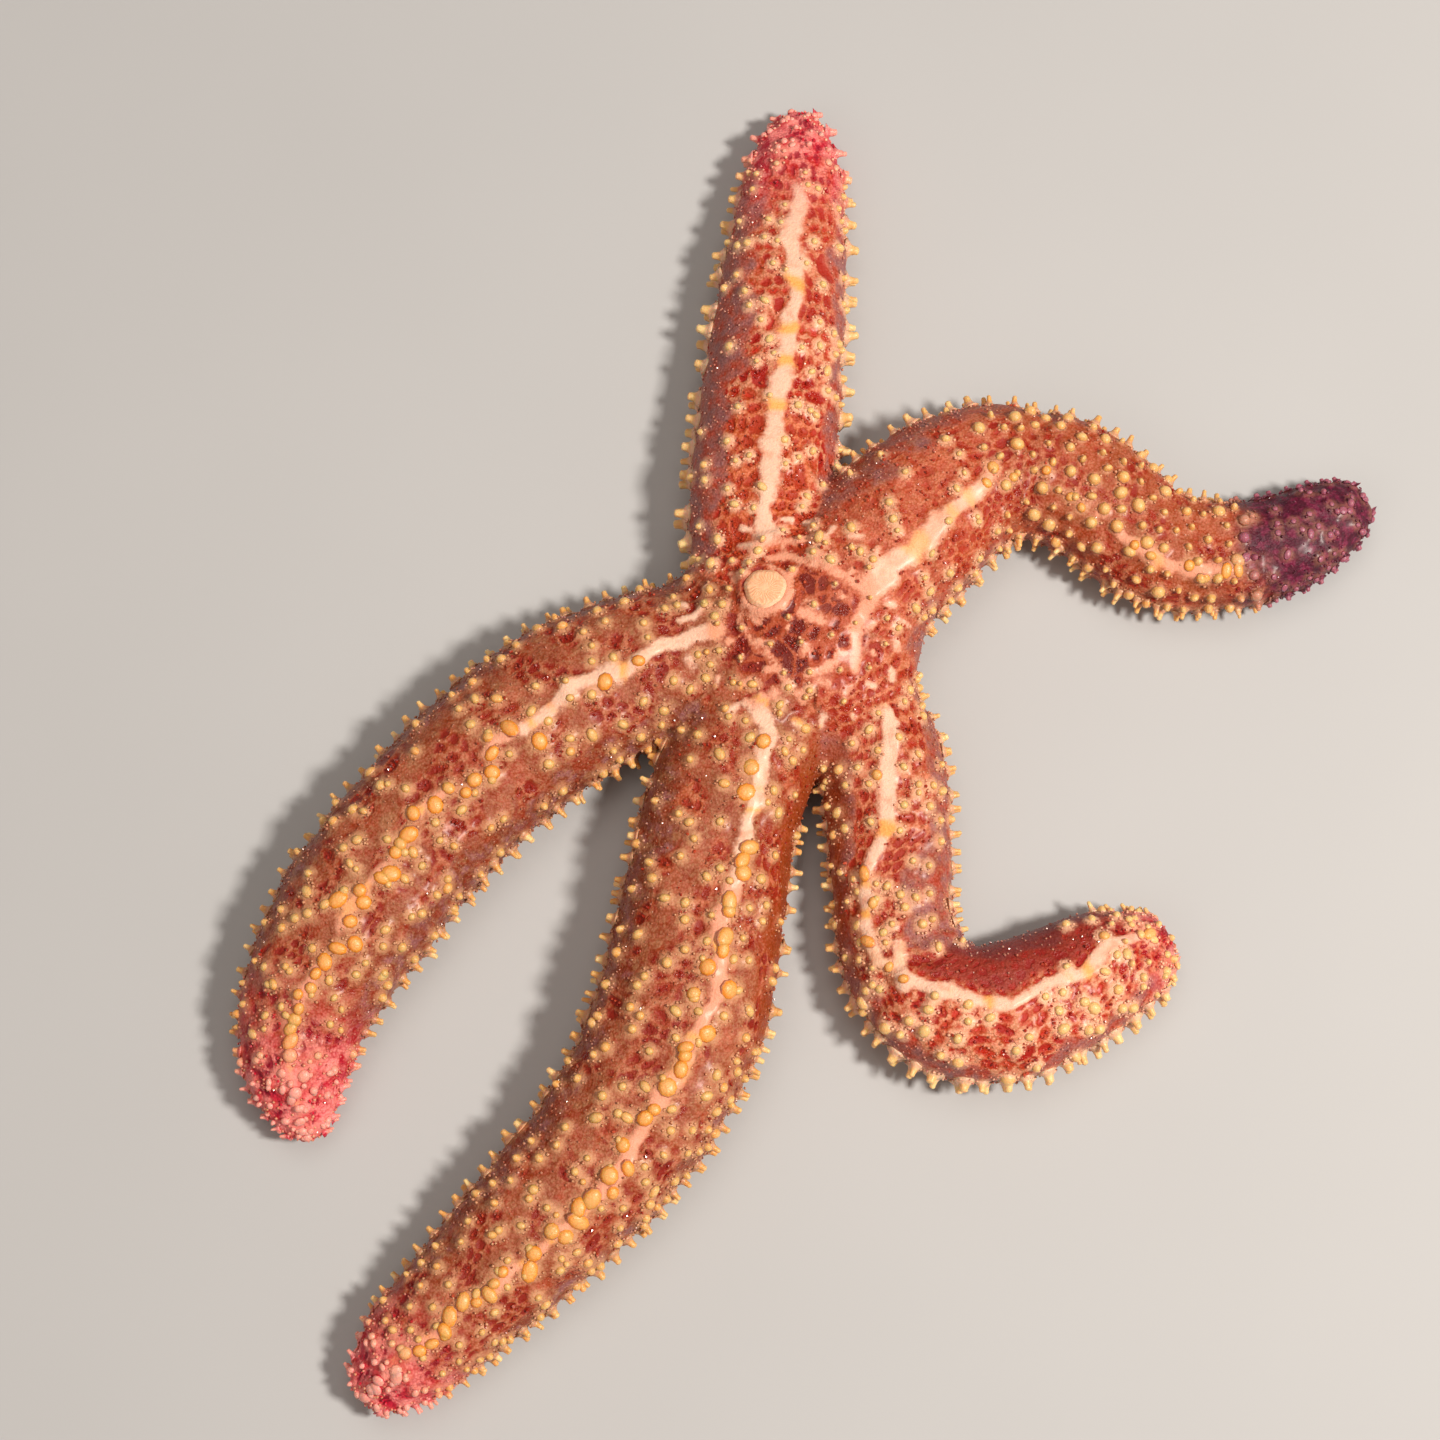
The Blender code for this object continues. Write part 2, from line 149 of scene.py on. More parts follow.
# The arm's centre line as arrays: the heading is the bearing plus each bend's share, and the place is
# the running sum of unit steps along the heading, moved so that distance 0 is the disc's centre. The
# half width is rounded off to nothing at the tip, and the underside and the top follow it.
def courseOf(arm):
    s = np.arange(body["rootBack"], arm["length"] + 0.5, body["lineStep"])
    heading = np.full_like(s, math.radians(arm["bearing"]))
    for middle, turn, over in arm["bends"]:
        heading += math.radians(turn) * ease((s - middle + over / 2.0) / over)
    steps = np.stack([np.cos(heading), np.sin(heading)], axis=1) * body["lineStep"]
    place = np.cumsum(steps, axis=0) - steps / 2.0
    place -= [np.interp(0.0, s, place[:, 0]), np.interp(0.0, s, place[:, 1])]
    blur = np.hanning(2 * body["widthBlur"] + 1)
    padded = np.pad(np.interp(s, *zip(*arm["halfWidths"])), body["widthBlur"], mode="edge")
    width = np.convolve(padded, blur / blur.sum(), mode="valid")
    end = arm["length"] - arm["tipCoat"]
    into = np.clip((s - (end - body["tipRound"])) / body["tipRound"], 0.0, 1.0)
    rounding = np.sqrt(1.0 - into * into)
    share = np.clip(s, 0.0, None) / arm["length"]
    tall = body["heightShare"] + (body["tipHeightShare"] - body["heightShare"]) * share
    thick = body["tipThick"] + (1.0 - body["tipThick"]) * rounding
    lift = arm["tipLift"] * ease((s - arm["length"] + body["tipRiseLength"]) / body["tipRiseLength"])
    return {
        "s": s, "x": place[:, 0] + body["discCentre"][0], "y": place[:, 1] + body["discCentre"][1],
        "heading": heading, "bend": np.gradient(heading, s), "end": end,
        "half": (width - body["sideCoat"]) * rounding, "plain": width,
        "low": body["floorCoat"] + lift + body["tipThick"] * width * (1.0 - rounding),
        "top": lift + (width + body["widthExtra"]) * tall * thick - body["topCoat"],
        "ridge": np.interp(s, *zip(*arm["ridge"])), "cell": arm["cell"],
    }


courses = {letter: courseOf(arm) for letter, arm in arms.items()}


# The course's values at the distances s, as a dictionary of arrays.
def along(course, s):
    return {key: np.interp(s, course["s"], course[key])
            for key in ("x", "y", "heading", "bend", "half", "plain", "low", "top", "ridge")}


# Places beside the centre line, to its left where across is positive.
def beside(at, across):
    return at["x"] - across * np.sin(at["heading"]), at["y"] + across * np.cos(at["heading"])


# The widest level: a fixed share of the way up from the underside to the top.
def widestLevel(at):
    return at["low"] + body["widest"] * (at["top"] - at["low"])


# The half width on the side that q points to; inside a bend it is the softened least of the half
# width and of the room that the bend leaves.
def reachOf(at, q):
    room = body["crowd"] / np.maximum(np.abs(at["bend"]), 1e-6)
    squeezed = (np.maximum(at["half"], 1e-3) ** -6 + room ** -6) ** (-1.0 / 6.0)
    return np.where(at["bend"] * q > 0.0, squeezed, at["half"])


# A point of the arm's skin at distance s and at q quarter turns from the top (0 top, 1 left, -1 right,
# 2 under): a superellipse about the widest level, whose lower half has its own height and power.
def skinPoint(course, s, q):
    at = along(course, s)
    angle = q * math.pi / 2.0
    sine, cosine = np.sin(angle), np.cos(angle)
    reach = np.maximum(reachOf(at, q), 1e-3)
    centre = widestLevel(at)
    tall = np.maximum(np.where(cosine > 0.0, at["top"] - centre, centre - at["low"]), 1e-3)
    power = np.where(cosine > 0.0, body["backPower"], body["underPower"])
    radius = ((np.abs(sine) / reach) ** power + (np.abs(cosine) / tall) ** power) ** (-1.0 / power)
    return np.stack([*beside(at, radius * sine), centre + radius * cosine], axis=-1)


# meshes from arrays

# An object at the origin from points in millimetres and faces of equal size.
def makePiece(name, points, faces, material=None, uv=None):
    mesh = bpy.data.meshes.new(name)
    faces = np.asarray(faces, dtype=np.int32)
    corners = faces.shape[1]
    mesh.vertices.add(len(points))
    mesh.vertices.foreach_set("co", (np.asarray(points) * mm).astype(np.float32).ravel())
    mesh.loops.add(faces.size)
    mesh.loops.foreach_set("vertex_index", faces.ravel())
    mesh.polygons.add(len(faces))
    mesh.polygons.foreach_set("loop_start", np.arange(0, faces.size, corners, dtype=np.int32))
    mesh.polygons.foreach_set("use_smooth", np.ones(len(faces), dtype=bool))
    mesh.update(calc_edges=True)
    if uv is not None:
        layer = mesh.uv_layers.new(name="OFBake")
        layer.data.foreach_set("uv", np.asarray(uv, dtype=np.float32).reshape(-1))
    if material:
        mesh.materials.append(material)
    piece = bpy.data.objects.new(name, mesh)
    bpy.context.scene.collection.objects.link(piece)
    return piece


# A named number on every vertex, which the materials read.
def mark(piece, name, values):
    data = piece.data.attributes.new(name, "FLOAT", "POINT").data
    data.foreach_set("value", np.asarray(values, dtype=np.float32))


# Triangles of a closed tube of rows and columns, as vertex numbers: two for each square of the grid and
# a fan over each open end, round two poles that are numbered after the grid.
def closedTube(rows, columns):
    i, j = np.meshgrid(np.arange(rows - 1), np.arange(columns), indexing="ij")
    k = (j + 1) % columns
    squares = np.stack([i * columns + j, i * columns + k, (i + 1) * columns + k, (i + 1) * columns + j],
                       axis=-1).reshape(-1, 4)
    first = np.arange(columns)
    last = (rows - 1) * columns + first
    pole = np.full(columns, rows * columns)
    bottom = np.stack([pole, np.roll(first, -1), first], axis=1)
    top = np.stack([last, np.roll(last, -1), pole + 1], axis=1)
    return np.concatenate([bottom, squares[:, [0, 1, 2]], squares[:, [0, 2, 3]], top])


# the skin

skinLook = {
    "voxel": 0.565,
    "tubeStep": 0.7,
    "tubeColumns": 72,
    "endRows": (0.25, 0.06),  # the last rows stand this far from the end
    "domeRows": 29,
    "domeColumns": 60,
    "domeLatitude": 84.0,
    "fullSmooth": 13.0,       # the disc is smoothed fully to this radius
    "endSmooth": 27.0,        # and not at all past this one
    "discRounds": 70,
    "evenRounds": 5,
}


# One arm as a tube: rows of the section along the arm.
def armTube(course):
    rows = np.arange(body["rootBack"], course["end"] - 0.02, skinLook["tubeStep"])
    rows = np.append(rows, course["end"] - np.array(skinLook["endRows"]))
    q = np.linspace(-2.0, 2.0, skinLook["tubeColumns"], endpoint=False)
    return skinPoint(course, rows[:, None], q[None, :])


# The upper disc as a squashed ball: rows of latitude, widest at the arms' own widest level.
def domeBall():
    steep = skinLook["domeLatitude"]
    latitudes = np.radians(np.linspace(-steep, steep, skinLook["domeRows"]))
    turns = np.linspace(0, 2 * np.pi, skinLook["domeColumns"], endpoint=False)
    height = body["domeTop"] - body["floorCoat"]
    flat, turn = np.meshgrid(latitudes, turns, indexing="ij")
    x = body["discCentre"][0] + body["domeRadius"] * np.cos(flat) * np.cos(turn)
    y = body["discCentre"][1] + body["domeRadius"] * np.cos(flat) * np.sin(turn)
    up = np.where(flat > 0.0, height * (1.0 - body["widest"]), height * body["widest"])
    return np.stack([x, y, body["floorCoat"] + height * body["widest"] + up * np.sin(flat)], axis=-1)


# All tubes in one mesh of triangles, each closed by a pole in the middle of its first and last row.
def joinShells(shells):
    points, triangles, start = [], [], 0
    for grid in shells:
        points.append(np.vstack([grid.reshape(-1, 3), grid[0].mean(axis=0), grid[-1].mean(axis=0)]))
        triangles.append(start + closedTube(*grid.shape[:2]))
        start += len(points[-1])
    return np.concatenate(points), np.concatenate(triangles)


# Fuses the shells into one closed surface with Blender's voxel remesh and gives back its arrays.
def fuse(points, triangles):
    loose = makePiece("looseShells", points, triangles)
    remesh = loose.modifiers.new("fuse", "REMESH")
    remesh.mode = "VOXEL"
    remesh.voxel_size = skinLook["voxel"] * mm
    remesh.adaptivity = 0.0
    evaluated = loose.evaluated_get(bpy.context.evaluated_depsgraph_get())
    mesh = bpy.data.meshes.new_from_object(evaluated)
    found = np.empty(len(mesh.vertices) * 3, dtype=np.float32)
    mesh.vertices.foreach_get("co", found)
    quads = np.empty(len(mesh.polygons) * 4, dtype=np.int32)
    mesh.loops.foreach_get("vertex_index", quads)
    bpy.data.objects.remove(loose, do_unlink=True)
    bpy.data.meshes.remove(mesh)
    return found.reshape(-1, 3).astype(np.float64) / mm, quads.reshape(-1, 4)


# Pairs of joined vertices, each pair once.
def edgesOf(quads):
    pairs = np.concatenate([quads[:, [0, 1]], quads[:, [1, 2]], quads[:, [2, 3]], quads[:, [3, 0]]])
    return np.unique(np.sort(pairs, axis=1), axis=0)


# Moves each vertex part of the way to the mean of its neighbours, weight by vertex, some rounds.
def relax(points, edges, weight, rounds):
    a, b = edges[:, 0], edges[:, 1]
    count = len(points)
    ends = np.concatenate([a, b])
    degree = np.bincount(ends, minlength=count)
    for _ in range(rounds):
        for axis in range(3):
            value = points[:, axis]
            total = np.bincount(ends, weights=np.concatenate([value[b], value[a]]), minlength=count)
            points[:, axis] = value + weight * (total / degree - value)
    return points


# Vertex normals: the sum of the cross products of each face's diagonals, made unit.
def normalsOf(points, quads):
    cross = np.cross(points[quads[:, 2]] - points[quads[:, 0]], points[quads[:, 3]] - points[quads[:, 1]])
    normal = np.zeros_like(points)
    for corner in range(4):
        for axis in range(3):
            normal[:, axis] += np.bincount(quads[:, corner], weights=cross[:, axis], minlength=len(points))
    return normal / np.maximum(np.linalg.norm(normal, axis=1, keepdims=True), 1e-12)


# Slices that take a long array in parts, so that no table of distances grows large.
def slicesOf(array, size):
    return [slice(start, start + size) for start in range(0, len(array), size)]


# Squares of the distances from every point of one set to every point of another.
def squareGaps(some, others):
    return (some ** 2).sum(axis=1)[:, None] + (others ** 2).sum(axis=1) - 2.0 * some @ others.T


# Distance out and quarter turns from the top of every point, seen from one arm: the nearest place on
# its centre line, then the angle about the widest level there. Also the distance from the centre line
# as a share of the half width.
def armCoordinates(course, points):
    line = np.stack([course["x"], course["y"]], axis=1)
    live = course["s"] >= 0.0
    line, s = line[live][::2], course["s"][live][::2]
    nearest = np.empty(len(points), dtype=np.int64)
    squares = (line ** 2).sum(axis=1)
    for part in slicesOf(points, 20000):
        nearest[part] = (squares - 2.0 * points[part, :2] @ line.T).argmin(axis=1)
    way = np.interp(s[nearest], course["s"], course["heading"])
    gap = points[:, :2] - line[nearest]
    forward = gap[:, 0] * np.cos(way) + gap[:, 1] * np.sin(way)
    s = np.clip(s[nearest] + forward, -20.0, course["end"] + 1.0)
    offset = -gap[:, 0] * np.sin(way) + gap[:, 1] * np.cos(way)
    at = along(course, s)
    q = np.arctan2(offset, points[:, 2] - widestLevel(at)) / (math.pi / 2.0)
    return s, q, np.hypot(gap[:, 0], gap[:, 1]) / np.maximum(at["plain"], 1.0)


# For each point, the least distance to any centre, as a share of that centre's reach.
def nearField(points, centres, reaches):
    best = np.empty(len(points))
    for part in slicesOf(points, 4000):
        best[part] = (squareGaps(points[part], centres) / reaches ** 2).min(axis=1)
    return np.sqrt(np.maximum(best, 0.0))


# Smooth random waves through space: a sum of sines of one wavelength with random directions.
def waves(points, length, seed, count=7):
    rng = np.random.default_rng(seed)
    total = np.zeros(len(points))
    for _ in range(count):
        direction = rng.normal(size=points.shape[1])
        direction *= 2.0 * math.pi / (length * np.linalg.norm(direction))
        total += np.sin(points @ direction + rng.uniform(0.0, 2.0 * math.pi))
    return total / math.sqrt(count)


# where every point of the skin is on the animal

lattice = {
    "alongStep": 1.95,        # length and width of one pit's cell on an arm of standard width
    "acrossStep": 1.75,
    "taper": 0.65,            # cells shrink as the half width to this power
    "quarter": 15.5,          # arc from the stripe to the widest level on such an arm
    "discStep": 2.7,
    "discFull": 7.5,          # the disc's own cells reach this far and fade out by the next radius
    "discEnd": 11.5,
    "warp": 0.34,
    "warpLength": 7.0,
    "discWarp": 0.48,
    "first": 40.0,            # cell numbers start here, and further on by the next value on each arm
    "armFirst": 57.0,
    # a finer waver of each arm's own, and its length
    "ragged": byLetter(0.08, 0.26, 0.0, 0.08, 0.08),
    "raggedLength": 3.4,
}


# Distance out in cells: the running sum of steps, each over its cell's length.
def cellsAlong(course, s):
    size = lattice["alongStep"] * course["cell"] * (
        np.maximum(course["plain"], 2.0) / standard) ** lattice["taper"]
    return np.interp(s, course["s"], np.cumsum(body["lineStep"] / size))


# The stripe's own turn from the top at the distances s.
def ridgeTurn(course, s):
    at = along(course, s)
    return at["ridge"] / (lattice["quarter"] * at["plain"] / standard)


# Quarter turns from the top, measured from the stripe instead of from the middle: the stripe's own
# turn is taken off where the back is highest, and less towards the sides.
def fromStripe(course, s, q):
    return q - ridgeTurn(course, s) * np.clip(1.0 - q * q, 0.0, 1.0)


# The other way round: the turn from the top of a place given by its turn from the stripe.
def fromTop(course, s, turn):
    shift = ridgeTurn(course, s)
    shift = np.where(np.abs(shift) < 1e-4, 1e-4, shift)
    inside = np.maximum(1.0 + 4.0 * shift * (turn + shift), 0.0)
    return np.where(np.abs(turn) < 1.0, (np.sqrt(inside) - 1.0) / (2.0 * shift), turn)


# Distance from the centre of a lattice cell as a share of its half size: alternate rows are moved by
# half a cell.
def cellGap(u, v):
    row = np.floor(u)
    v = v + 0.5 * np.mod(row, 2.0)
    return 2.0 * np.hypot(u - row - 0.5, v - np.floor(v) - 0.5)


# A value that each arm has its own of, on every vertex.
def byArm(table):
    return np.array([table[letter] for letter in letters], dtype=float)[armOf]


# A field on one arm, and nothing on the others.
def onArm(letter, field):
    return np.where(isArm[letter], field, 0.0)


print("skin: fusing the arms and the disc")
base, quads = fuse(*joinShells([*map(armTube, courses.values()), domeBall()]))
edges = edgesOf(quads)
centreGap = np.hypot(base[:, 0] - body["discCentre"][0], base[:, 1] - body["discCentre"][1])
slack = 0.5 * (1.0 - ease((centreGap - skinLook["fullSmooth"]) /
                          (skinLook["endSmooth"] - skinLook["fullSmooth"])))
base = relax(base, edges, slack, skinLook["discRounds"])
base = relax(base, edges, 0.4, skinLook["evenRounds"])
print("skin: %d vertices, %d triangles" % (len(base), 2 * len(quads)))

planar = base[:, :2] - np.array(body["discCentre"])
reachOut = np.hypot(planar[:, 0], planar[:, 1])
each = [armCoordinates(course, base) for course in courses.values()]
allS, allQ, allNear = (np.stack([one[k] for one in each]) for k in range(3))
armOf = allNear.argmin(axis=0)
isArm = {letter: armOf == number for number, letter in enumerate(letters)}
sortedNear = np.sort(allNear, axis=0)
here = np.arange(len(base))
s, q = allS[armOf, here], allQ[armOf, here]
turn, cellU, plain = (np.empty(len(base)) for _ in range(3))
for number, (letter, course) in enumerate(courses.items()):
    mine = isArm[letter]
    turn[mine] = fromStripe(course, s[mine], q[mine])
    plain[mine] = along(course, s[mine])["plain"]
    cellU[mine] = cellsAlong(course, s[mine]) + lattice["armFirst"] * number
left = byArm({letter: course["end"] for letter, course in courses.items()}) - s
small = plain / standard
seam = (sortedNear[1] - sortedNear[0]) * plain
normal = normalsOf(base, quads)

warpA = lattice["warp"] * waves(base, lattice["warpLength"], 3)
warpB = lattice["warp"] * waves(base, lattice["warpLength"], 4)
cellSize = lattice["acrossStep"] * small ** lattice["taper"] * byArm(
    {letter: arm["cell"] for letter, arm in arms.items()})
ragged = byArm(lattice["ragged"])
cellU = cellU + warpA + ragged * waves(base, lattice["raggedLength"], 8)
cellV = turn * lattice["quarter"] * small / cellSize + warpB + ragged * waves(
    base, lattice["raggedLength"], 9) + lattice["first"]
discU, discV = (planar[:, axis] / lattice["discStep"] + lattice["discWarp"] / lattice["warp"] * warp +
                (lattice["first"] + 0.5) for axis, warp in enumerate((warpA, warpB)))
discShare = 1.0 - ease((reachOut - lattice["discFull"]) / (lattice["discEnd"] - lattice["discFull"]))

# zones and markings, as fields over the skin's vertices

marks = {
    "stripeHalf": byLetter(1.15, 1.65, 1.55, 1.20, 1.30),
    "stripeStart": byLetter(15.0, 7.5, 11.5, 8.5, 10.0),
    "stripeEnd": byLetter(84.0, 33.0, 65.0, 41.0, 92.0),
    "stripeFade": byLetter(4.0, 4.0, 6.0, 5.0, 30.0),
    "chain": byLetter(0.3, 0.5, 0.2, 1.0, 1.0),             # pale links past the stripe's end
    "warmFrom": byLetter(200.0, 50.0, 200.0, 41.0, 36.0),   # pink and gold from here
    "onStripe": byLetter(0.75, 0.0, 0.0, 0.10, 0.80),       # how likely a knob stands on the whole stripe
    "plateStep": 3.1,         # the stripe's edge bulges at random about once for each plate under it
    "bulges": (0.52, 1.48),
    # the second pale stretch of the right arm: from, to
    "secondStripe": (56.0, 70.0),
    "break": 48.5,            # the lower right arm's stripe is broken here
    # pale lines across the disc, from its centre: points, half width and strength
    "veins": ((((-3.5, 9), (-1, 9.5), (2, 8), (5.5, 6.5), (8.5, 4.5)), 0.85, 0.75),
              (((13, 6), (10.5, 4), (9.5, 2), (8, -1)), 1.05, 1.0),
              (((8, -1), (8, -6)), 0.95, 0.85),
              (((1.5, -7), (3.5, -6.5), (5.5, -5)), 0.85, 0.75),
              (((-4, -4), (-2.5, -6), (-1, -8.5)), 0.8, 0.65),
              (((-15.5, 0.5), (-13.5, 1), (-11.5, 3)), 0.8, 0.7),
              (((-6.5, 3.5), (-7.5, 0.5), (-5, -4)), 0.8, 0.5),
              (((-7.5, 11), (-2, 11.5), (4, 11.5)), 0.95, 0.6),
              (((-6.5, -10.5), (-5, -13), (-3, -15.5)), 0.9, 0.8),
              (((1, 1), (3.5, 0)), 0.95, 0.9),
              (((13.5, -42.5), (13.5, -45), (14, -48)), 1.0, 0.95)),
    # small pale plates between the disc's pits: to what radius, how far apart, the half length, the half
    # width and the strength
    "plates": {"to": 15.0, "apart": 3.3, "halfLength": (0.1, 0.8), "half": (0.6, 1.0),
               "power": (0.35, 0.75)},
    "goldStep": 1.6,          # on the stripe a plate end is gold or cream about once in this
    # the golden bands across the top arm's stripe, and half the length of one
    "goldBands": (32.0, 38.0, 43.5, 50.0),
    "goldHalf": 0.75,
    # turn from the stripe where the back's pits give way to the mauve side
    "flankLeft": byLetter(0.46, 0.60, 0.40, 0.50, 0.56),
    "flankRight": byLetter(0.37, 0.62, 0.52, 0.64, 0.66),
    "brown": byLetter(0.40, 0.38, 0.08, 0.75, 0.75),
    "crimsonLength": byLetter(8.0, 0.0, 19.0, 21.0, 15.0),
    "crimsonPower": byLetter(0.6, 0.0, 1.0, 1.0, 1.0),
    # how far from the end the right arm's tip is painted dark purple: its crimson under painted shade
    "shadedTipLength": 21.0,
    "pitSoftness": byLetter(0.0, 0.48, 0.0, 0.0, 0.0),
}

zones = {
    # what comes in on an arm past a distance out: arm, share, from, over
    "thinStripe": (("d", 0.10, 42.0, 6.0),),
    # painted shade on the inside of the lower right arm's curl
    "curlShade": (("a", 1.0, 47.0, 5.0),),
    "brown": (("b", 0.22, 33.0, 8.0), ("a", -0.36, 46.0, 8.0)),
    "lateFlank": (("b", 0.34, 32.0, 8.0), ("a", 0.28, 48.0, 8.0)),
    "softPits": (("c", 0.48, 36.0, 10.0),),
    # what goes out before one: arm, share, to, over
    "rust": (("c", 1.0, 36.0, 9.0), ("b", 0.60, 37.0, 9.0), ("a", 0.38, 46.0, 12.0), ("e", 0.38, 46.0, 12.0)),
    # what lies between two: arm, share, from, to, margin
    # partly painted shade: deep brown where the lower arms face each other and on the right arm's elbow
    "umberAndShade": (("a", 1.0, 17.0, 46.0, 9.0), ("e", 1.0, 13.0, 58.0, 14.0), ("b", 0.40, 34.0, 74.0, 8.0)),
    # where few spines grow: kinds, arm, sides, share that is missing, from, to, margin
    "fewSpines": ((("back", "shoulder"), "b", (1, -1), 1.0, 33.0, 76.0, 4.0),
                  (("ridge", "back", "shoulder", "side"), "a", (1,), 0.85, 47.0, 80.0, 4.0),
                  (("shoulder", "side"), "e", (1,), 0.70, 10.0, 52.0, 6.0)),
}


# Zones of single arms that come in past a distance out.
def past(name):
    return sum(onArm(letter, share * ease((s - start) / over)) for letter, share, start, over in zones[name])


# Zones of single arms that go out before a distance.
def before(name):
    return sum(onArm(letter, share * ease((end - s) / over)) for letter, share, end, over in zones[name])


# Zones of single arms between two distances.
def between(name):
    return sum(onArm(letter, share * window(s, low, high, margin))
               for letter, share, low, high, margin in zones[name])


# The larger of a field and of a pale bar along a line of points, in millimetres from the disc's centre:
# the bar's value is its strength less the distance to the line over its half width.
def withBar(field, line, barHalf, power):
    for (startX, startY), (endX, endY) in zip(line[:-1], line[1:]):
        step = np.array([endX - startX, endY - startY])
        share = np.clip((planar - (startX, startY)) @ step / (step @ step), 0.0, 1.0)
        gap = np.linalg.norm(planar - (startX, startY) - share[:, None] * step, axis=1)
        field = np.where(normal[:, 2] > 0.2, np.maximum(field, power - gap / barHalf), field)
    return field


# Random vertices of a region, taken in turn where none taken before stands within the gap.
def spreadOut(region, gap, most):
    taken = np.empty((0, 3))
    chosen = []
    for vertex in dice.permutation(np.flatnonzero(region))[:most]:
        if len(taken) == 0 or ((taken - base[vertex]) ** 2).sum(axis=1).min() > gap * gap:
            taken = np.vstack([taken, base[vertex]])
            chosen.append(vertex)
    return np.array(chosen)


lowCorner, highCorner = (np.array(corner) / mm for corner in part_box("sieve_plate"))
plateMiddle = (lowCorner[:2] + highCorner[:2]) / 2.0
plateGap = np.hypot(base[:, 0] - plateMiddle[0], base[:, 1] - plateMiddle[1])
plateTurn = np.arctan2(base[:, 1] - plateMiddle[1], base[:, 0] - plateMiddle[0])

# the pale stripe: its half width bulges plate by plate, and its power fades at both ends
bulges = np.random.default_rng(5).uniform(*marks["bulges"], (2, 60))
plateAt = s / marks["plateStep"] + 7.0 + armOf * 3.3 + 0.25 * waves(base, 6.0, 12)
bulge = np.where(turn > 0.0, *(np.interp(plateAt, np.arange(60), side) for side in bulges))
stripeHalf = byArm(marks["stripeHalf"]) * bulge * (1.0 + 0.12 * waves(base, 3.0, 5))
stripeHalf *= 1.0 - past("thinStripe")
inStripe = ease((s - byArm(marks["stripeStart"])) / 2.5 + 0.5) * (1.0 - discShare)
mainPower = ease((byArm(marks["stripeEnd"]) - s) / byArm(marks["stripeFade"]) + 0.5)
mainPower = np.maximum(mainPower, onArm("b", 0.8 * window(s, *marks["secondStripe"], 4.0)))
mainPower *= 1.0 - onArm("a", np.exp(-((s - marks["break"]) / 0.7) ** 2))
chainPower = byArm(marks["chain"]) * ease(0.72 + 0.6 * waves(base, 7.0, 13)) * ease(left / 5.0)
stripePower = inStripe * np.maximum(mainPower, 0.75 * chainPower)
stripe = (1.0 - np.abs(turn) * lattice["quarter"] * small / stripeHalf) * stripePower
stripe -= 0.6 * (1.0 - stripePower)

# its pink share, and its gold: by chance along the arm, and in whole bands on the top arm
warm = ease((s - byArm(marks["warmFrom"])) / 10.0 + 0.5)
warm = np.maximum(warm, 0.85 * (1.0 - ease((reachOut - 11.0) / 2.5)))
warm = np.maximum(warm, onArm("b", 0.40))
goldChance = np.random.default_rng(17).random(120)
goldAt = s / marks["goldStep"] + 5.0 + armOf * 7.7 + 0.3 * waves(base, 4.0, 15)
gold = ease((np.interp(goldAt, np.arange(120), goldChance) - 0.60) / 0.22)
bandGap = np.abs(s[:, None] - 0.5 * waves(base, 5.0, 16)[:, None] - np.array(marks["goldBands"])).min(axis=1)
gold = np.where(isArm["c"], 1.0 - ease(bandGap / marks["goldHalf"] - 0.5), gold)
gold *= inStripe * (1.0 - onArm("b", 0.4))

# pale lines and plates on the disc, and a faint pale ring round the sieve plate with a painted highlight on
# its lower right
for line, barHalf, power in marks["veins"]:
    stripe = withBar(stripe, line, barHalf, power - 0.1)
bars, plates = np.random.default_rng(31), marks["plates"]
openDisc = (reachOut < plates["to"]) & (normal[:, 2] > 0.5) & (stripe < -0.2) & (plateGap > 4.2)
for vertex in spreadOut(openDisc, plates["apart"], 900):
    way, size = bars.uniform(0.0, np.pi), bars.uniform(*plates["halfLength"])
    across = size * np.array([np.cos(way), np.sin(way)])
    stripe = withBar(stripe, (planar[vertex] - across, planar[vertex] + across),
                     bars.uniform(*plates["half"]), bars.uniform(*plates["power"]))
# painted highlight: the ring round the sieve plate is made pale mostly on its lower right, and joins the
# stripe's field
highlightSide = ease(0.55 + 0.6 * np.cos(plateTurn + 0.7))
rimHighlight = np.where(normal[:, 2] > 0.2, 0.95 * highlightSide - np.abs(plateGap - 3.2) / 0.75, -1.0)
stripe = np.maximum(stripe, rimHighlight)

# crimson tips, the right arm's crimson tip painted dark purple as painted shade, painted shade on the inside
# of the lower right arm's curl, and the rusty fields
crimson = ease(1.25 - left / np.maximum(byArm(marks["crimsonLength"]), 1.0))
crimson *= byArm(marks["crimsonPower"])
shadedTip = onArm("b", ease((marks["shadedTipLength"] + 4.0 - left + 2.2 * waves(base, 5.0, 14)) / 9.0))
# painted shade: the inside of the lower right arm's curl, past its bend, darkened to maroon
curlShade = past("curlShade") * ease((turn - 0.06) / 0.16) * ease(left / 10.0)
rust = before("rust") * np.where(isArm["c"], ease((0.50 - np.abs(turn)) / 0.12), 1.0) * (1.0 - discShare)
# the flanks that face each other, of the lower arms, and the right arm's elbow are a deep brown: partly their
# own colour, partly painted shade
umberAndShade = between("umberAndShade") * np.where(isArm["a"], ease((-turn - 0.34) / 0.3), 1.0)
umberAndShade *= np.where(isArm["e"], ease((turn - 0.30) / 0.3), 1.0)
brown = (byArm(marks["brown"]) + past("brown")) * (1.0 - 0.6 * discShare)

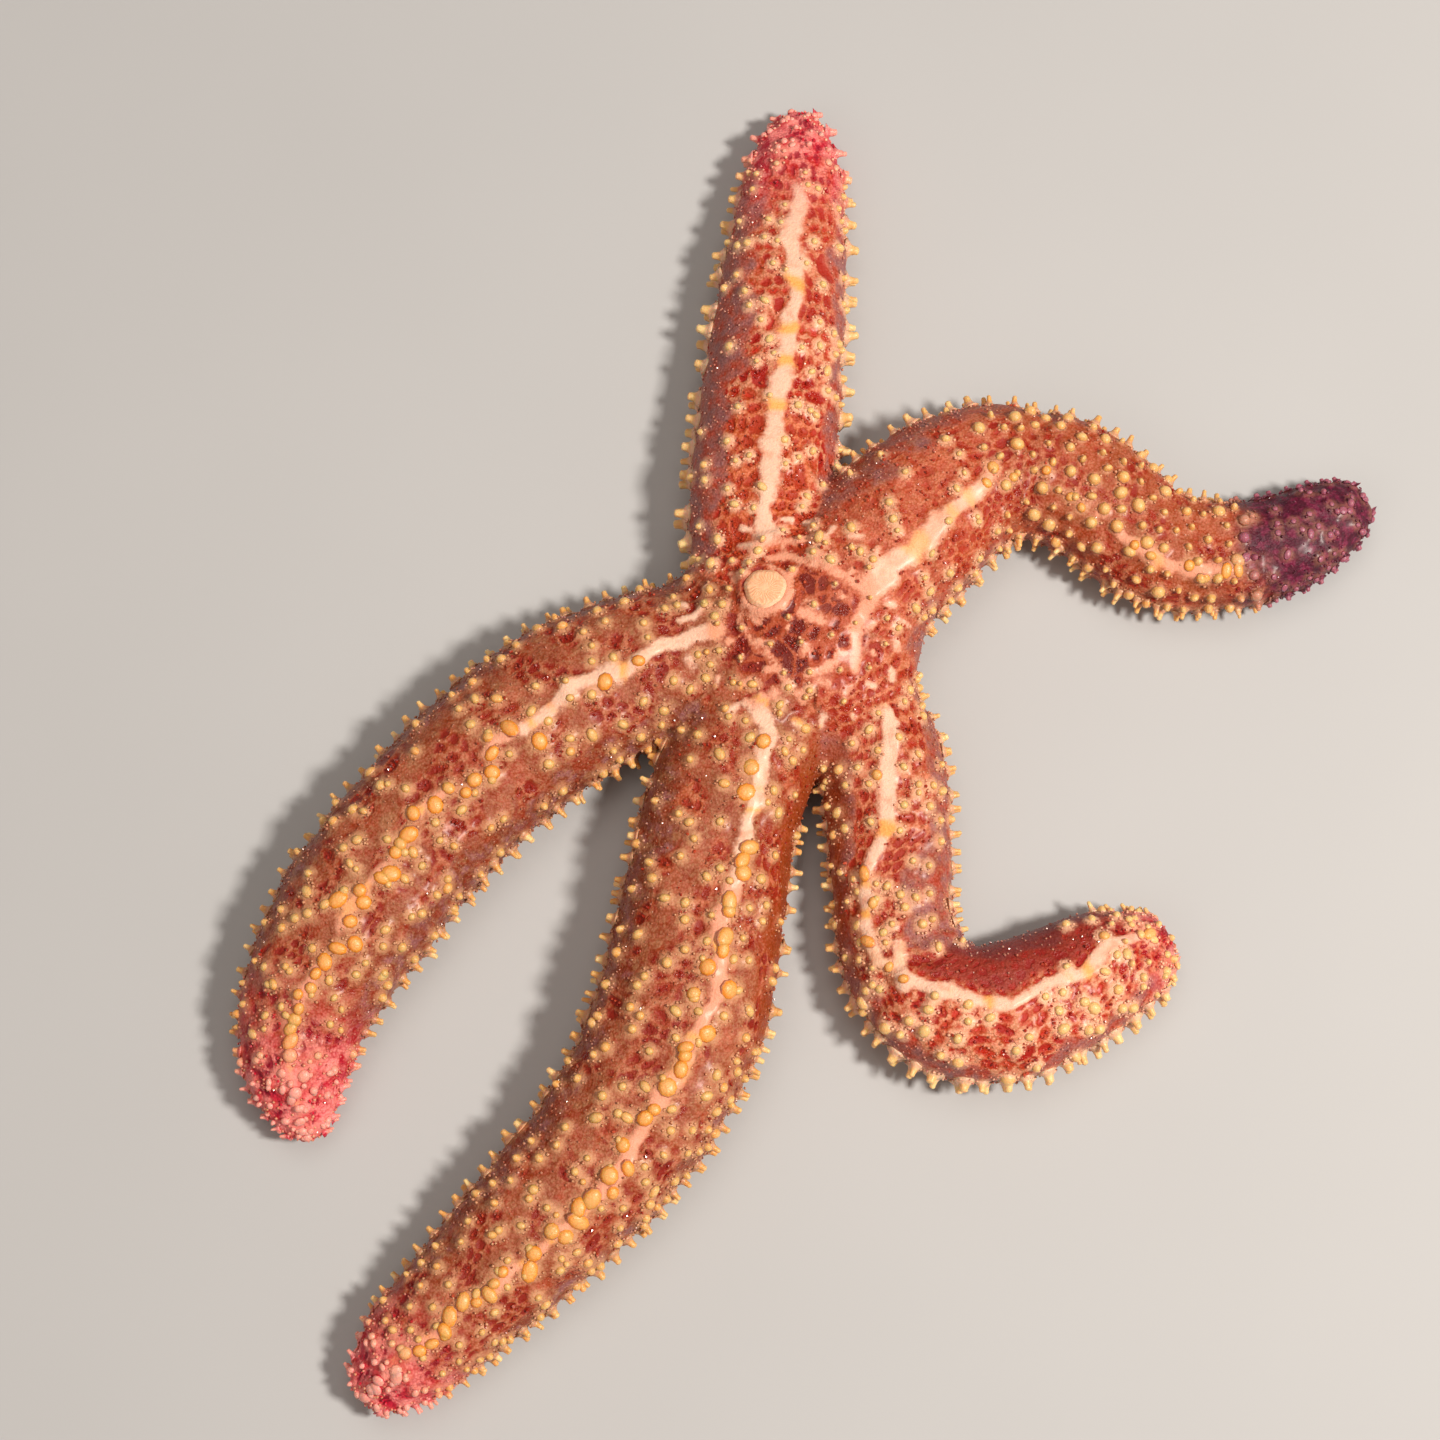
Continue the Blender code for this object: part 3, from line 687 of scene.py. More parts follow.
# where the flanks begin: further from the stripe past the elbows, and at one turn on the disc
late = past("lateFlank") * np.where(isArm["a"], turn < 0.0, 1.0)
flankStart = np.where(turn > 0.0, byArm(marks["flankLeft"]), byArm(marks["flankRight"])) + late
flankStart = 0.62 + (flankStart - 0.62) * ease((reachOut - 10.0) / 12.0)
flank = ease((np.abs(turn) - flankStart + 0.07 * waves(base, 5.0, 6)) / 0.16 + 0.3) * (1.0 - discShare)
under = ease((np.abs(q) - 1.12) / 0.3)

# how strong the pits are: only on the back, off the stripe and the seams, and softer on some arms
pitPower = (1.0 - flank) * (1.0 - under) * np.clip(1.0 - 1.2 * ease(stripe + 0.55), 0.0, 1.0)
pitPower = pitPower * ease(seam / 1.4) * (1.0 - discShare)
pitPower += discShare * (1.0 - under) * (1.0 - ease((stripe + 0.45) / 0.5))
# fewer pits under the painted shade of the right arm's tip and of the lower right arm's curl
pitPower *= (1.0 - 0.35 * shadedTip) * (1.0 - 0.5 * curlShade)
pitPower *= 1.0 - past("softPits")
pitPower *= 1.0 - byArm(marks["pitSoftness"])
# on the browner arms the pits come in patches
patch = ease(0.42 + 0.95 * waves(base, 6.5, 18) + 0.35 * np.exp(-(np.abs(turn) / 0.30) ** 2))
pitPower *= 1.0 - np.clip(1.15 * brown, 0.0, 0.93) * (1.0 - patch)
pitGap, discGap = cellGap(cellU, cellV), cellGap(discU, discV)
pitHere = (1.0 - ease((pitGap - 0.35) / 0.6)) * (1.0 - discShare)
pitHere += (1.0 - ease((discGap - 0.40) / 0.6)) * discShare

# places for the spines

same = byLetter(1.0, 1.0, 1.0, 1.0, 1.0)
spines = {
    # each row: turn from the stripe, spacing, radius, height, jitter along, jitter in turn; and for each
    # arm how far apart, how big and how likely the spines of a kind are
    "ridge": {"rows": ((0.0, 2.6, 0.74, 0.46, 0.42, 0.075),),
              "apart": byLetter(1.35, 1.1, 2.1, 0.70, 0.72),
              "big": byLetter(0.95, 0.80, 1.0, 1.05, 1.08),
              "likely": byLetter(0.40, 0.8, 0.0, 0.92, 1.0)},
    "back": {"rows": ((0.17, 3.7, 0.42, 0.31, 0.42, 0.045), (0.33, 3.9, 0.44, 0.34, 0.42, 0.045)),
             "apart": byLetter(1.10, 1.0, 1.20, 0.92, 0.92),
             "big": byLetter(1.05, 0.85, 0.92, 1.06, 1.06),
             "likely": byLetter(0.66, 0.55, 0.72, 0.66, 0.74)},
    "shoulder": {"rows": ((0.49, 3.9, 0.46, 0.40, 0.40, 0.045), (0.65, 4.0, 0.46, 0.50, 0.38, 0.040),
                          (0.80, 4.0, 0.46, 0.68, 0.34, 0.032)),
                 "apart": byLetter(1.05, 1.0, 1.15, 0.94, 0.94),
                 "big": byLetter(1.15, 0.90, 1.08, 1.06, 1.06),
                 "likely": byLetter(0.70, 0.55, 0.62, 0.66, 0.80)},
    "side": {"rows": ((0.93, 2.8, 0.50, 1.40, 0.20, 0.022), (1.07, 2.8, 0.48, 1.40, 0.20, 0.022)),
             "apart": byLetter(1.05, 1.05, 1.55, 1.0, 0.95),
             "big": byLetter(1.0, 0.95, 1.38, 0.86, 0.93), "likely": same},
    "below": {"rows": ((1.28, 2.8, 0.38, 0.70, 0.15, 0.015),), "apart": same, "big": same,
              "likely": same},
}
# loose knobs: how far apart, and the least and the most radius and height
looseKnobs = {
    "centre": {"apart": 3.3, "radius": (0.26, 0.40), "height": (0.30, 0.50)},
    "elbow": {"apart": 2.25, "radius": (0.34, 0.80), "height": (0.45, 0.75)},
    "tips": {"apart": 2.5, "radius": (0.30, 0.48), "height": (0.30, 0.50)},
}


# Distances out for one row: steps of equal length along the row's own line on the skin, jittered.
def rowPlaces(course, side, row, apart):
    at, spacing, _, _, jitter, _ = row
    line = np.arange(6.0, course["end"] - 0.6, 0.25)
    turns = fromTop(course, line, np.full_like(line, side * at))
    path = skinPoint(course, line, turns)
    walked = np.concatenate([[0.0], np.cumsum(np.linalg.norm(np.diff(path, axis=0), axis=1))])
    stretch = (np.interp(line, course["s"], course["plain"]) / standard) ** 0.45
    counted = np.concatenate([[0.0], np.cumsum(np.diff(walked) / (spacing * apart * stretch[1:]))])
    number = np.arange(0.3 + 0.4 * dice.random(), counted[-1], 1.0)
    number = number + jitter * dice.uniform(-1.0, 1.0, len(number))
    return np.interp(np.clip(number, 0.0, counted[-1]), counted, line)


# The skin's vertex nearest to each target, among the vertices of one region, and how far it is.
def nearestVertex(targets, region):
    where = np.flatnonzero(region)
    chosen, gap = np.empty(len(targets), dtype=int), np.empty(len(targets))
    for part in slicesOf(targets, 256):
        squares = squareGaps(targets[part], base[where])
        chosen[part] = where[squares.argmin(axis=1)]
        gap[part] = np.sqrt(np.maximum(squares.min(axis=1), 0.0))
    return chosen, gap


# Which spines stay, by chance and place: the right arm's elbow gets knobs of its own, the inside of the
# lower right arm's curl, which is painted with shade, has hardly any, and the lowest arm's inner flank has
# few.
def stays(kind, letter, out, side):
    share = np.full_like(out, spines[kind]["likely"][letter])
    if kind == "ridge":
        share = np.where(out < marks["stripeEnd"][letter], marks["onStripe"][letter], share)
        share = np.where(out < marks["stripeStart"][letter] + 4.0, 0.0, share)
    if kind in ("back", "shoulder"):
        share = share * (0.45 + 0.55 * ease((courses[letter]["end"] - out) / 9.0 - 0.2))
    for kinds, arm, sides, missing, low, high, margin in zones["fewSpines"]:
        if kind in kinds and letter == arm and side in sides:
            share = share * (1.0 - missing * window(out, low, high, margin))
    return dice.random(len(out)) < share


# Roots of one kind of spine over all arms: the vertex, the radius and height, and the side.
def spineRoots(kind):
    found = []
    own, farthest = spines[kind], 2.0 if kind == "ridge" else 1.1
    for letter, course in courses.items():
        for row in own["rows"]:
            _, _, radius, height, _, turnJitter = row
            for side in ((1, -1) if row[0] > 0.0 else (1,)):
                out = rowPlaces(course, side, row, own["apart"][letter])
                out = out[stays(kind, letter, out, side)]
                turns = side * row[0] + turnJitter * dice.normal(size=len(out))
                chosen, gap = nearestVertex(skinPoint(course, out, fromTop(course, out, turns)),
                                            isArm[letter])
                out, chosen = out[gap < farthest], chosen[gap < farthest]
                size = small[chosen] ** 0.6 * own["big"][letter]
                if letter == "a" and side < 0:   # larger on the outside of the elbow and past it
                    size = size * (1.0 + 0.25 * ease((out - 46.0) / 8.0))
                radii = radius * size * dice.uniform(0.78, 1.22, len(chosen))
                low = 1.0 - 0.45 * shadedTip[chosen]
                heights = height * low * size ** 0.6 * dice.uniform(0.80, 1.06, len(chosen))
                found.append((chosen, radii, heights, np.full(len(chosen), side)))
    return tuple(map(np.concatenate, zip(*found)))


ridgeRoots, backRoots, shoulderRoots, sideRoots, belowRoots = map(spineRoots, spines)
upper = (normal[:, 2] > 0.1) & (stripe < 0.1)
onElbow = isArm["b"] & (s > 35.0) & (left > 19.0) & (turn < 0.55 + 0.02 * (s - 35.0)) & (turn > -0.97)
centre, elbows, tips = looseKnobs.values()
centreKnobs = spreadOut((reachOut < 12.5) & (normal[:, 2] > 0.4) & (plateGap > 4.0), centre["apart"], 700)
elbowKnobs = spreadOut(onElbow & upper, elbows["apart"], 4000)
tipKnobs = spreadOut((left < 8.0) & (normal[:, 2] > -0.2), tips["apart"], 1500)
spare = np.concatenate([centreKnobs, elbowKnobs, tipKnobs])
thinnest, thickest = elbows["radius"]
spareRadii = np.concatenate([
    dice.uniform(*centre["radius"], len(centreKnobs)),
    thinnest + (thickest - thinnest) * dice.random(len(elbowKnobs)) ** 1.8,
    dice.uniform(*tips["radius"], len(tipKnobs))])
spareHeights = np.concatenate([
    dice.uniform(*knobs["height"], len(placed))
    for knobs, placed in zip(looseKnobs.values(), (centreKnobs, elbowKnobs, tipKnobs))])
print("spines: %d on the stripe, %d on the back, %d on the sides, %d more on the disc, elbow and tips" %
      (len(ridgeRoots[0]), len(backRoots[0]) + len(shoulderRoots[0]), len(sideRoots[0]), len(spare)))

# relief of the skin

relief = {
    "pit": 0.26,
    "ridge": 0.34,
    "knob": 0.46,
    "haloReach": 0.60,        # a spine lifts the skin this far out and this many of its own radii more
    "crowdedReach": 0.20,     # the same for the knobs of the disc, the elbow and the tips
    "haloSpread": 1.30,
    "lumps": 0.14,
    "plateCollar": 0.72,
    "mouthHalf": 4.4,
    "mouthDepth": 4.0,
    # arm, distance out, half length, depth
    "creases": (("c", 13.4, 0.8, 0.55), ("b", 41.5, 1.0, 0.7), ("b", 38.0, 0.8, 0.35),
                ("a", 49.5, 0.8, 0.55), ("a", 46.0, 0.7, 0.3)),
}
kinds = (backRoots, shoulderRoots, sideRoots, belowRoots, ridgeRoots, (spare, spareRadii))
allRoots, allRadii = (np.concatenate([kind[part] for kind in kinds]) for part in range(2))
reach = np.full(len(allRoots), relief["haloReach"])
reach[len(reach) - len(spare):] = relief["crowdedReach"]
knobGap = nearField(base, base[allRoots], reach + relief["haloSpread"] * allRadii)
rise = relief["knob"] * np.exp(-knobGap ** 2)
rise += relief["ridge"] * ease(0.6 + stripe) * stripePower
rise -= relief["pit"] * pitHere * pitPower * np.clip(knobGap, 0.0, 1.0)
rise += relief["lumps"] * waves(base, 8.0, 8) * (1.0 - under)
rise += relief["plateCollar"] * np.exp(-((plateGap - 3.15) / 0.7) ** 2) * ease(normal[:, 2] * 2.0)
bow = 0.9 * waves(base[:, :2], 9.0, 9)
for letter, at, length, depth in relief["creases"]:
    rise -= onArm(letter, depth * np.exp(-((s + bow - at) / length) ** 2)) * (1.0 - under)
points = base + normal * rise[:, None]

# the grooves under the arms and the mouth where they meet
lift = np.zeros(len(base))
for near, out, course in zip(allNear, allS, courses.values()):
    wide = along(course, out)["plain"]
    across = near * np.maximum(wide, 1.0)
    wide = wide / standard
    inArm = ease((course["end"] - out) / 6.0)
    lift = np.maximum(lift, body["grooveDepth"] * wide * inArm *
                      np.exp(-(across / (body["grooveHalf"] * wide)) ** 4))
lift = np.maximum(lift, relief["mouthDepth"] * np.exp(-(reachOut / relief["mouthHalf"]) ** 4))
facingDown = ease(-normal[:, 2] * 1.6)
points[:, 2] += lift * facingDown
grooveShare = np.clip(lift / 2.2, 0.0, 1.0) * facingDown
normal = normalsOf(points, quads)
print("skin: relief made, from %.2f to %.2f mm high" % (points[:, 2].min(), points[:, 2].max()))

# the unwrap: one strip for each arm

unwrap = {"strip": 0.46, "behind": 8.0, "length": 140.0, "patch": 0.0015}


# Places on the unwrap: the arm's strip, across it by the turn from the top, up it by distance out.
def unwrapAt(arm, s, q):
    u = (arm + 0.5 + unwrap["strip"] * q / 2.0) / len(letters)
    return np.stack([u, (s + unwrap["behind"]) / unwrap["length"]], axis=-1)


# The skin's corners on the unwrap, with each face wholly in the strip of its first corner's arm.
def skinUnwrap():
    arm = armOf[quads[:, 0]][:, None]
    turnsHere = allQ[arm, quads]
    turnsHere -= 4.0 * np.round((turnsHere - turnsHere[:, :1]) / 4.0)
    return unwrapAt(arm, allS[arm, quads], turnsHere).reshape(-1, 2)


rootOnUnwrap = unwrapAt(armOf, s, q)

# materials


# The linear colour of red, green and blue given as 0 to 255.
def colour(red, green, blue):
    share = np.array([red, green, blue]) / 255.0
    linear = np.where(share <= 0.04045, share / 12.92, ((share + 0.055) / 1.055) ** 2.4)
    return (*linear.tolist(), 1.0)


# Painted shade among these: the maroon for the inside of the lower right arm's curl, the dark purples of the
# right arm's tip, and the deep brown of the lower arms' facing flanks, which is also the disc centre's own
# colour.
paints = {name: colour(*shades) for name, shades in {
    "ground": (216, 126, 98), "groundBrown": (156, 84, 58), "field": (190, 58, 24),
    "fieldBrown": (150, 50, 22), "mauve": (174, 98, 88), "mauveBrown": (138, 74, 52),
    "mauveGrey": (160, 102, 100), "pale": (224, 176, 134), "web": (234, 166, 132),
    "webBrown": (186, 104, 76), "pit": (166, 24, 8), "pitOrange": (196, 46, 22),
    "pitBrown": (126, 30, 10), "pitCrimson": (150, 8, 40), "shadedTipPit": (48, 8, 30),
    "rust": (176, 58, 22), "discDark": (104, 22, 8), "rustPatch": (136, 44, 18),
    "rustWeb": (224, 122, 84), "greyPatch": (184, 132, 96), "curlShade": (112, 32, 34),
    "umberAndShade": (160, 68, 28), "knobOlive": (204, 152, 78), "stripe": (234, 190, 164),
    "stripeOrange": (240, 168, 88), "stripePink": (230, 158, 128), "crimson": (206, 22, 56),
    "crimsonPale": (248, 140, 138), "shadedTip": (80, 10, 38), "shadedTipPale": (122, 38, 68),
    "collar": (246, 194, 158), "collarBrown": (192, 134, 90), "knobBeige": (214, 156, 84),
    "knobGold": (222, 150, 66), "knobOrange": (236, 142, 36), "knobCream": (244, 204, 142),
    "knobCrimson": (248, 160, 146), "shadedTipKnob": (156, 86, 106), "gill": (150, 30, 16),
    "gillPale": (204, 90, 60), "tubeFoot": (238, 206, 146), "tubeFootDark": (206, 160, 104),
    "sieve": (248, 196, 154), "sieveDark": (238, 174, 130), "eye": (190, 24, 16),
    "floor": (178, 180, 182), "floorOther": (184, 186, 188),
}.items()}

# For each finish: the share of light that enters it and how deep in millimetres, the share and the
# roughness of its clear wet coat, the level of its mirror shine, and the strength of its bump.
finishes = {
    "wet skin": (0.12, 1.2, 0.12, 0.22, 0.32, 0.9),
    "cream knobs": (0.35, 1.5, 0.12, 0.20, 0.50, 0.9),
    "orange knobs": (0.35, 1.5, 0.12, 0.20, 0.50, 0.9),
    "side spines": (0.35, 1.5, 0.12, 0.20, 0.50, 0.9),
    "wet gills": (0.20, 0.8, 1.00, 0.20, 0.50, 1.0),
    "wreaths": (0.10, 0.8, 0.20, 0.20, 0.50, 0.8),
    "pincers": (0.10, 0.8, 1.00, 0.20, 0.50, 0.8),
    "tube feet": (0.30, 1.0, 0.30, 0.10, 0.50, 0.8),
    "sieve plate": (0.15, 1.0, 0.15, 0.20, 0.50, 0.8),
    "eye spots": (0.10, 0.8, 0.60, 0.06, 0.50, 0.6),
    "pale floor": (0.00, 1.0, 0.00, 0.03, 0.50, 1.0),
}
making = {}   # the material that is being made, and its nodes


# Joins a node's output to an input, or sets the input. A name stands for a paint on an input of colour,
# and on any other for a mark of the skin and the coat.
def join(socket, value):
    if isinstance(value, str):
        value = paints[value] if socket.type == "RGBA" else markOf(value)
    if isinstance(value, bpy.types.NodeSocket):
        making["tree"].links.new(value, socket)
    else:
        socket.default_value = value


# A node of the material being made, with its fields and inputs; gives back one output.
def put(kind, inputs, output=0, **fields):
    node = making["tree"].nodes.new("ShaderNode" + kind)
    for field, value in fields.items():
        setattr(node, field, value)
    for socket, value in inputs.items():
        join(node.inputs[socket], value)
    return node.outputs[output]


# A mark of the skin and the coat, as it lies on the surface.
def markOf(name):
    return put("Attribute", {}, "Fac", attribute_name=name)


# One sum on values or marks.
def maths(operation, first, second=0.0, third=0.0):
    return put("Math", {0: first, 1: second, 2: third}, operation=operation)


# Two values added.
def plus(first, second):
    return maths("ADD", first, second)


# Two values multiplied.
def times(first, second):
    return maths("MULTIPLY", first, second)


# A value times a scale, plus a shift.
def scaled(value, scale, shift):
    return maths("MULTIPLY_ADD", value, scale, shift)


# The larger of two values.
def larger(first, second):
    return maths("MAXIMUM", first, second)


# What is left of 1 without a value.
def without(value):
    return maths("SUBTRACT", 1.0, value)


# One tone that turns into another by a share.
def blend(share, first, second):
    return put("Mix", {0: share, 6: first, 7: second}, 2, data_type="RGBA")


# A tone with others laid over it one by one, each by its share.
def layered(tone, *layers):
    for share, over in layers:
        tone = blend(share, tone, over)
    return tone


# 0 to 1 from a low value to a high one, with a level start and end.
def rampUp(value, low, high):
    return put("MapRange", {0: value, 1: low, 2: high}, interpolation_type="SMOOTHSTEP")


# Noise of a given grain in millimetres, about 0 to 1, on Object coordinates.
def noise(grain, detail=2.0, rough=0.5):
    place = put("TexCoord", {}, "Object")
    return put("TexNoise", {"Vector": place, "Scale": 1.0 / (grain * mm), "Detail": detail,
                            "Roughness": rough})


# Round cells of a given grain in millimetres: 0 at a cell's middle and about 1 between cells.
def cells(grain):
    place = put("TexCoord", {}, "Object")
    return put("TexVoronoi", {"Vector": place, "Scale": 1.0 / (grain * mm), "Smoothness": 0.4},
               "Distance", feature="SMOOTH_F1")


# Begins a material, which takes the finish of the same name.
def start(name):
    made = bpy.data.materials.new(name)
    made.use_nodes = True
    making.update(material=made, tree=made.node_tree, finish=finishes[name])


# Ends the material begun last: its fixed values, its tone, its roughness and its height in millimetres.
def finish(tone, rough, height=None):
    shader = next(node for node in making["tree"].nodes if node.type == "BSDF_PRINCIPLED")
    light, depth, coat, coatRough, shine, strength = making["finish"]
    shader.inputs["Subsurface Weight"].default_value = light
    shader.inputs["Subsurface Scale"].default_value = depth * mm
    shader.inputs["Coat Weight"].default_value = coat
    shader.inputs["Coat Roughness"].default_value = coatRough
    shader.inputs["Specular IOR Level"].default_value = shine
    join(shader.inputs["Base Color"], tone)
    join(shader.inputs["Roughness"], rough)
    if height is not None:
        bump = put("Bump", {"Height": height, "Distance": mm, "Strength": strength}, "Normal")
        join(shader.inputs["Normal"], bump)
    return making["material"]


# How deep in a pit a point is, from the skin's cell numbers: the distance from the middle of its cell,
# made uneven by noise, through a smooth step. Alternate rows are moved by half a cell.
def pitMask(u, v, low, high):
    row = maths("FLOOR", u)
    v = plus(v, times(maths("FLOORED_MODULO", row, 2.0), 0.5))
    column = maths("FLOOR", v)
    du = maths("SUBTRACT", maths("SUBTRACT", u, row), 0.5)
    dv = maths("SUBTRACT", maths("SUBTRACT", v, column), 0.5)
    gap = times(maths("SQRT", plus(times(du, du), times(dv, dv))), 2.0)
    cell = put("CombineXYZ", {"X": row, "Y": column})
    chance = put("TexWhiteNoise", {"Vector": cell}, "Value", noise_dimensions="2D")
    uneven = scaled(noise(0.6), 1.15, -0.575)
    gap = plus(gap, plus(uneven, scaled(chance, 0.66, -0.30)))
    return without(rampUp(gap, low, high)), chance


# The ground colour of a place on the animal, from the zones that the skin and the coat both carry, some of
# which lay painted shade.
def groundColour():
    brown = rampUp(plus("brown", scaled(noise(4.5, 3.0, 0.6), 1.0, -0.5)), 0.15, 0.95)
    mottle = noise(1.7)
    side = layered(blend(brown, "mauve", "mauveBrown"), (rampUp(mottle, 0.48, 0.66), "mauveGrey"))
    rusty = times(rampUp(noise(3.3, 3.0, 0.65), 0.53, 0.66), scaled(brown, 0.55, 0.12))
    greyed = times(rampUp(noise(2.6, 3.0, 0.65), 0.54, 0.68), scaled(brown, 0.50, 0.10))
    crimson = blend(rampUp(noise(2.2, 3.0, 0.6), 0.38, 0.60), "crimson", "crimsonPale")
    # the right arm's crimson tip in dark purple tones, as painted shade
    shadedTip = blend(rampUp(noise(1.0), 0.44, 0.66), "shadedTip", "shadedTipPale")
    return layered(
        blend(brown, "ground", "groundBrown"), ("flank", side),
        (times(rampUp(mottle, 0.50, 0.34), 0.55), blend(brown, "field", "fieldBrown")),
        (rusty, "rustPatch"), (greyed, "greyPatch"), ("under", "pale"),
        # painted shade: maroon on the inside of the lower right arm's curl, and a deep brown, partly own
        # colour, where the lower arms face each other
        (times("curlShade", 0.65), "curlShade"), (times("umberAndShade", 0.85), "umberAndShade"),
        ("crimson", crimson), ("shadedTip", shadedTip))


# How much of a pit a point of the skin is in, and its pit's chance number.
def pitOf():
    armPit, chance = pitMask("cellU", "cellV", 0.48, 0.90)
    discPit, _ = pitMask("discU", "discV", 0.62, 1.0)
    pit = plus(times(armPit, without("discShare")), times(discPit, "discShare"))
    pit = times(pit, rampUp("pitPower", 0.1, 0.6))
    return times(pit, rampUp("knobGap", 0.55, 1.0)), chance


# The field of the pits: the ground under red, with a pale web between the pits.
def fieldColour(ground, tipped, fine):
    pitted = times(rampUp("pitPower", 0.1, 0.7), without(tipped))
    red = layered(blend("brown", "field", "fieldBrown"), (times("rust", 0.8), "rust"))
    web = layered(blend("brown", "web", "webBrown"), (times("rust", 0.9), "rustWeb"))
    webShare = times(times(pitted, rampUp(scaled(fine, 0.5, "webGap"), 0.95, 1.35)), 0.80)
    # less web under the painted shade of the lower right arm's curl
    webShare = times(webShare, without(larger("curlShade", times("discShare", 0.75))))
    return layered(ground, (times(pitted, 0.80), red), (webShare, web))


# The skin's colour: the ground, the field of the pits, grains and fuzz, the pits, the pale halos of the
# spines and the stripe, one over the other.
def skinColour(pit, chance, fine, grain):
    ground = groundColour()
    tipped = larger("crimson", "shadedTip")
    tone = fieldColour(ground, tipped, fine)
    fuzz = times(rampUp(noise(0.7, 4.0, 0.75), 0.50, 0.62), scaled("brown", 0.45, 0.06))
    # no fuzz in the deep brown between the lower arms, which is partly painted shade
    fuzz = times(times(fuzz, without("umberAndShade")), without(tipped))
    grains = put("HueSaturation", {"Color": tone, "Value": 0.74, "Saturation": 1.10})
    # pits in the right arm's tip take a dark purple, as painted shade
    dark = layered(
        blend(rampUp(chance, 0.3, 0.9), "pit", "pitOrange"), ("brown", "pitBrown"),
        (times("rust", 0.75), "rust"), ("crimson", "pitCrimson"), ("shadedTip", "shadedTipPit"),
        (times("centre", 0.9), "discDark"))
    uneven = scaled(fine, 1.0, -0.5)
    collar = times(without(rampUp(plus("knobGap", uneven), 0.50, 1.30)), 0.85)
    # weaker halos in the deep brown between the lower arms, which is partly painted shade
    collar = times(times(collar, scaled("flank", -0.25, 1.0)), scaled("umberAndShade", -0.55, 1.0))
    collarTone = layered(blend("brown", "collar", "collarBrown"), (times(tipped, 0.8), ground))
    edge = plus(uneven, scaled(noise(1.3), 1.2, -0.6))
    edge = times(edge, scaled("discShare", 0.6, 0.8))
    # the stripe's field also holds the painted highlight on the lower right of the ring round the sieve plate
    band = rampUp(plus("stripe", edge), -0.30, 0.50)
    warmth = scaled("warm", 0.8, noise(2.2))
    creases = times(rampUp(cells(1.2), 0.50, 0.95), 0.75)
    bandTone = layered(
        blend(rampUp(warmth, 0.6, 1.2), "stripe", "stripePink"), (creases, "stripePink"),
        ("gold", "stripeOrange"), (times("crimson", 0.5), "crimsonPale"))
    return layered(
        blend(rampUp(grain, 0.25, 0.75), tone, grains), (fuzz, "greyPatch"),
        # more painted shade on the inside of the lower right arm's curl; the deep brown laid on the disc's
        # centre is its own colour
        (times("centre", 0.40), "umberAndShade"), (pit, dark), (times("curlShade", 0.45), "curlShade"),
        (collar, collarTone), (times(band, without("shadedTip")), bandTone),
        (times("groove", 0.6), "tubeFoot"))


# The skin is dull, and glossy in the pits and sparkling spots of its wet patches.
def skinMaterial():
    start("wet skin")
    pit, chance = pitOf()
    fine, grain = noise(0.45, 3.0, 0.65), cells(0.34)
    sparkle = times(rampUp(noise(0.9, 3.0, 0.6), 0.55, 0.62), rampUp("pitPower", 0.2, 0.6))
    glossy = times(rampUp(noise(6.0), 0.42, 0.62), larger(pit, sparkle))
    height = scaled(grain, -0.06, times(pit, -0.12))
    height = scaled(fine, 0.17, height)
    height = scaled(times(glossy, noise(0.45)), 0.30, height)
    return finish(skinColour(pit, chance, fine, grain), scaled(glossy, -0.35, 0.54), height)


# Spines: the skin's own colour at the root, a tone drawn for each spine from three above it, and cream
# where the skin is fair.
def spineMaterial(name, low, middle, high, fair, rootTone=None):
    start(name)
    # on the right arm's tip the spines take a dark purple: their crimson under painted shade
    own = layered(
        blend(rampUp("tint", 0.1, 0.55), low, middle), (rampUp("tint", 0.65, 0.95), high),
        (times(without("brown"), fair), "knobCream"), (times(rampUp("rise", 0.6, 1.0), 0.35), "knobCream"),
        (rampUp("crimson", 0.55, 1.0), "knobCrimson"), (rampUp("shadedTip", 0.25, 0.9), "shadedTipKnob"),
        (times("under", 0.6), "tubeFoot"))
    root = rootTone or blend(0.85, groundColour(), blend("brown", "collar", "collarBrown"))
    root = blend(larger("crimson", "shadedTip"), root, groundColour())
    return finish(blend(rampUp("rise", 0.30, 0.56), root, own), 0.42, times(noise(0.35), 0.14))


# Gills: red, paler at random, and in the colours of the fields and tips they stand in.
def gillMaterial():
    start("wet gills")
    tone = layered(
        blend(rampUp("tint", 0.45, 1.0), "gill", "gillPale"), (times("brown", 0.4), "pitBrown"),
        # on the right arm's tip, the dark purple of painted shade
        (times("rust", 0.8), "rust"), ("crimson", "crimson"), ("shadedTip", "shadedTip"))
    return finish(tone, 0.22)


# Small soft grains and wreaths round the spines: the ground's own colour, paler on top.
def grainMaterial(name, pale):
    start(name)
    share = times(times(rampUp("rise", 0.2, 1.0), pale), without("shadedTip"))
    tone = blend(share, groundColour(), blend("brown", "collar", "collarBrown"))
    return finish(tone, 0.44, times(noise(0.3), 0.06))


# Tube feet: cream in two tones.
def tubeFootMaterial():
    start("tube feet")
    tone = blend(rampUp(noise(0.5), 0.35, 0.7), "tubeFoot", "tubeFootDark")
    return finish(tone, 0.35, times(noise(0.2, 1.0), 0.04))


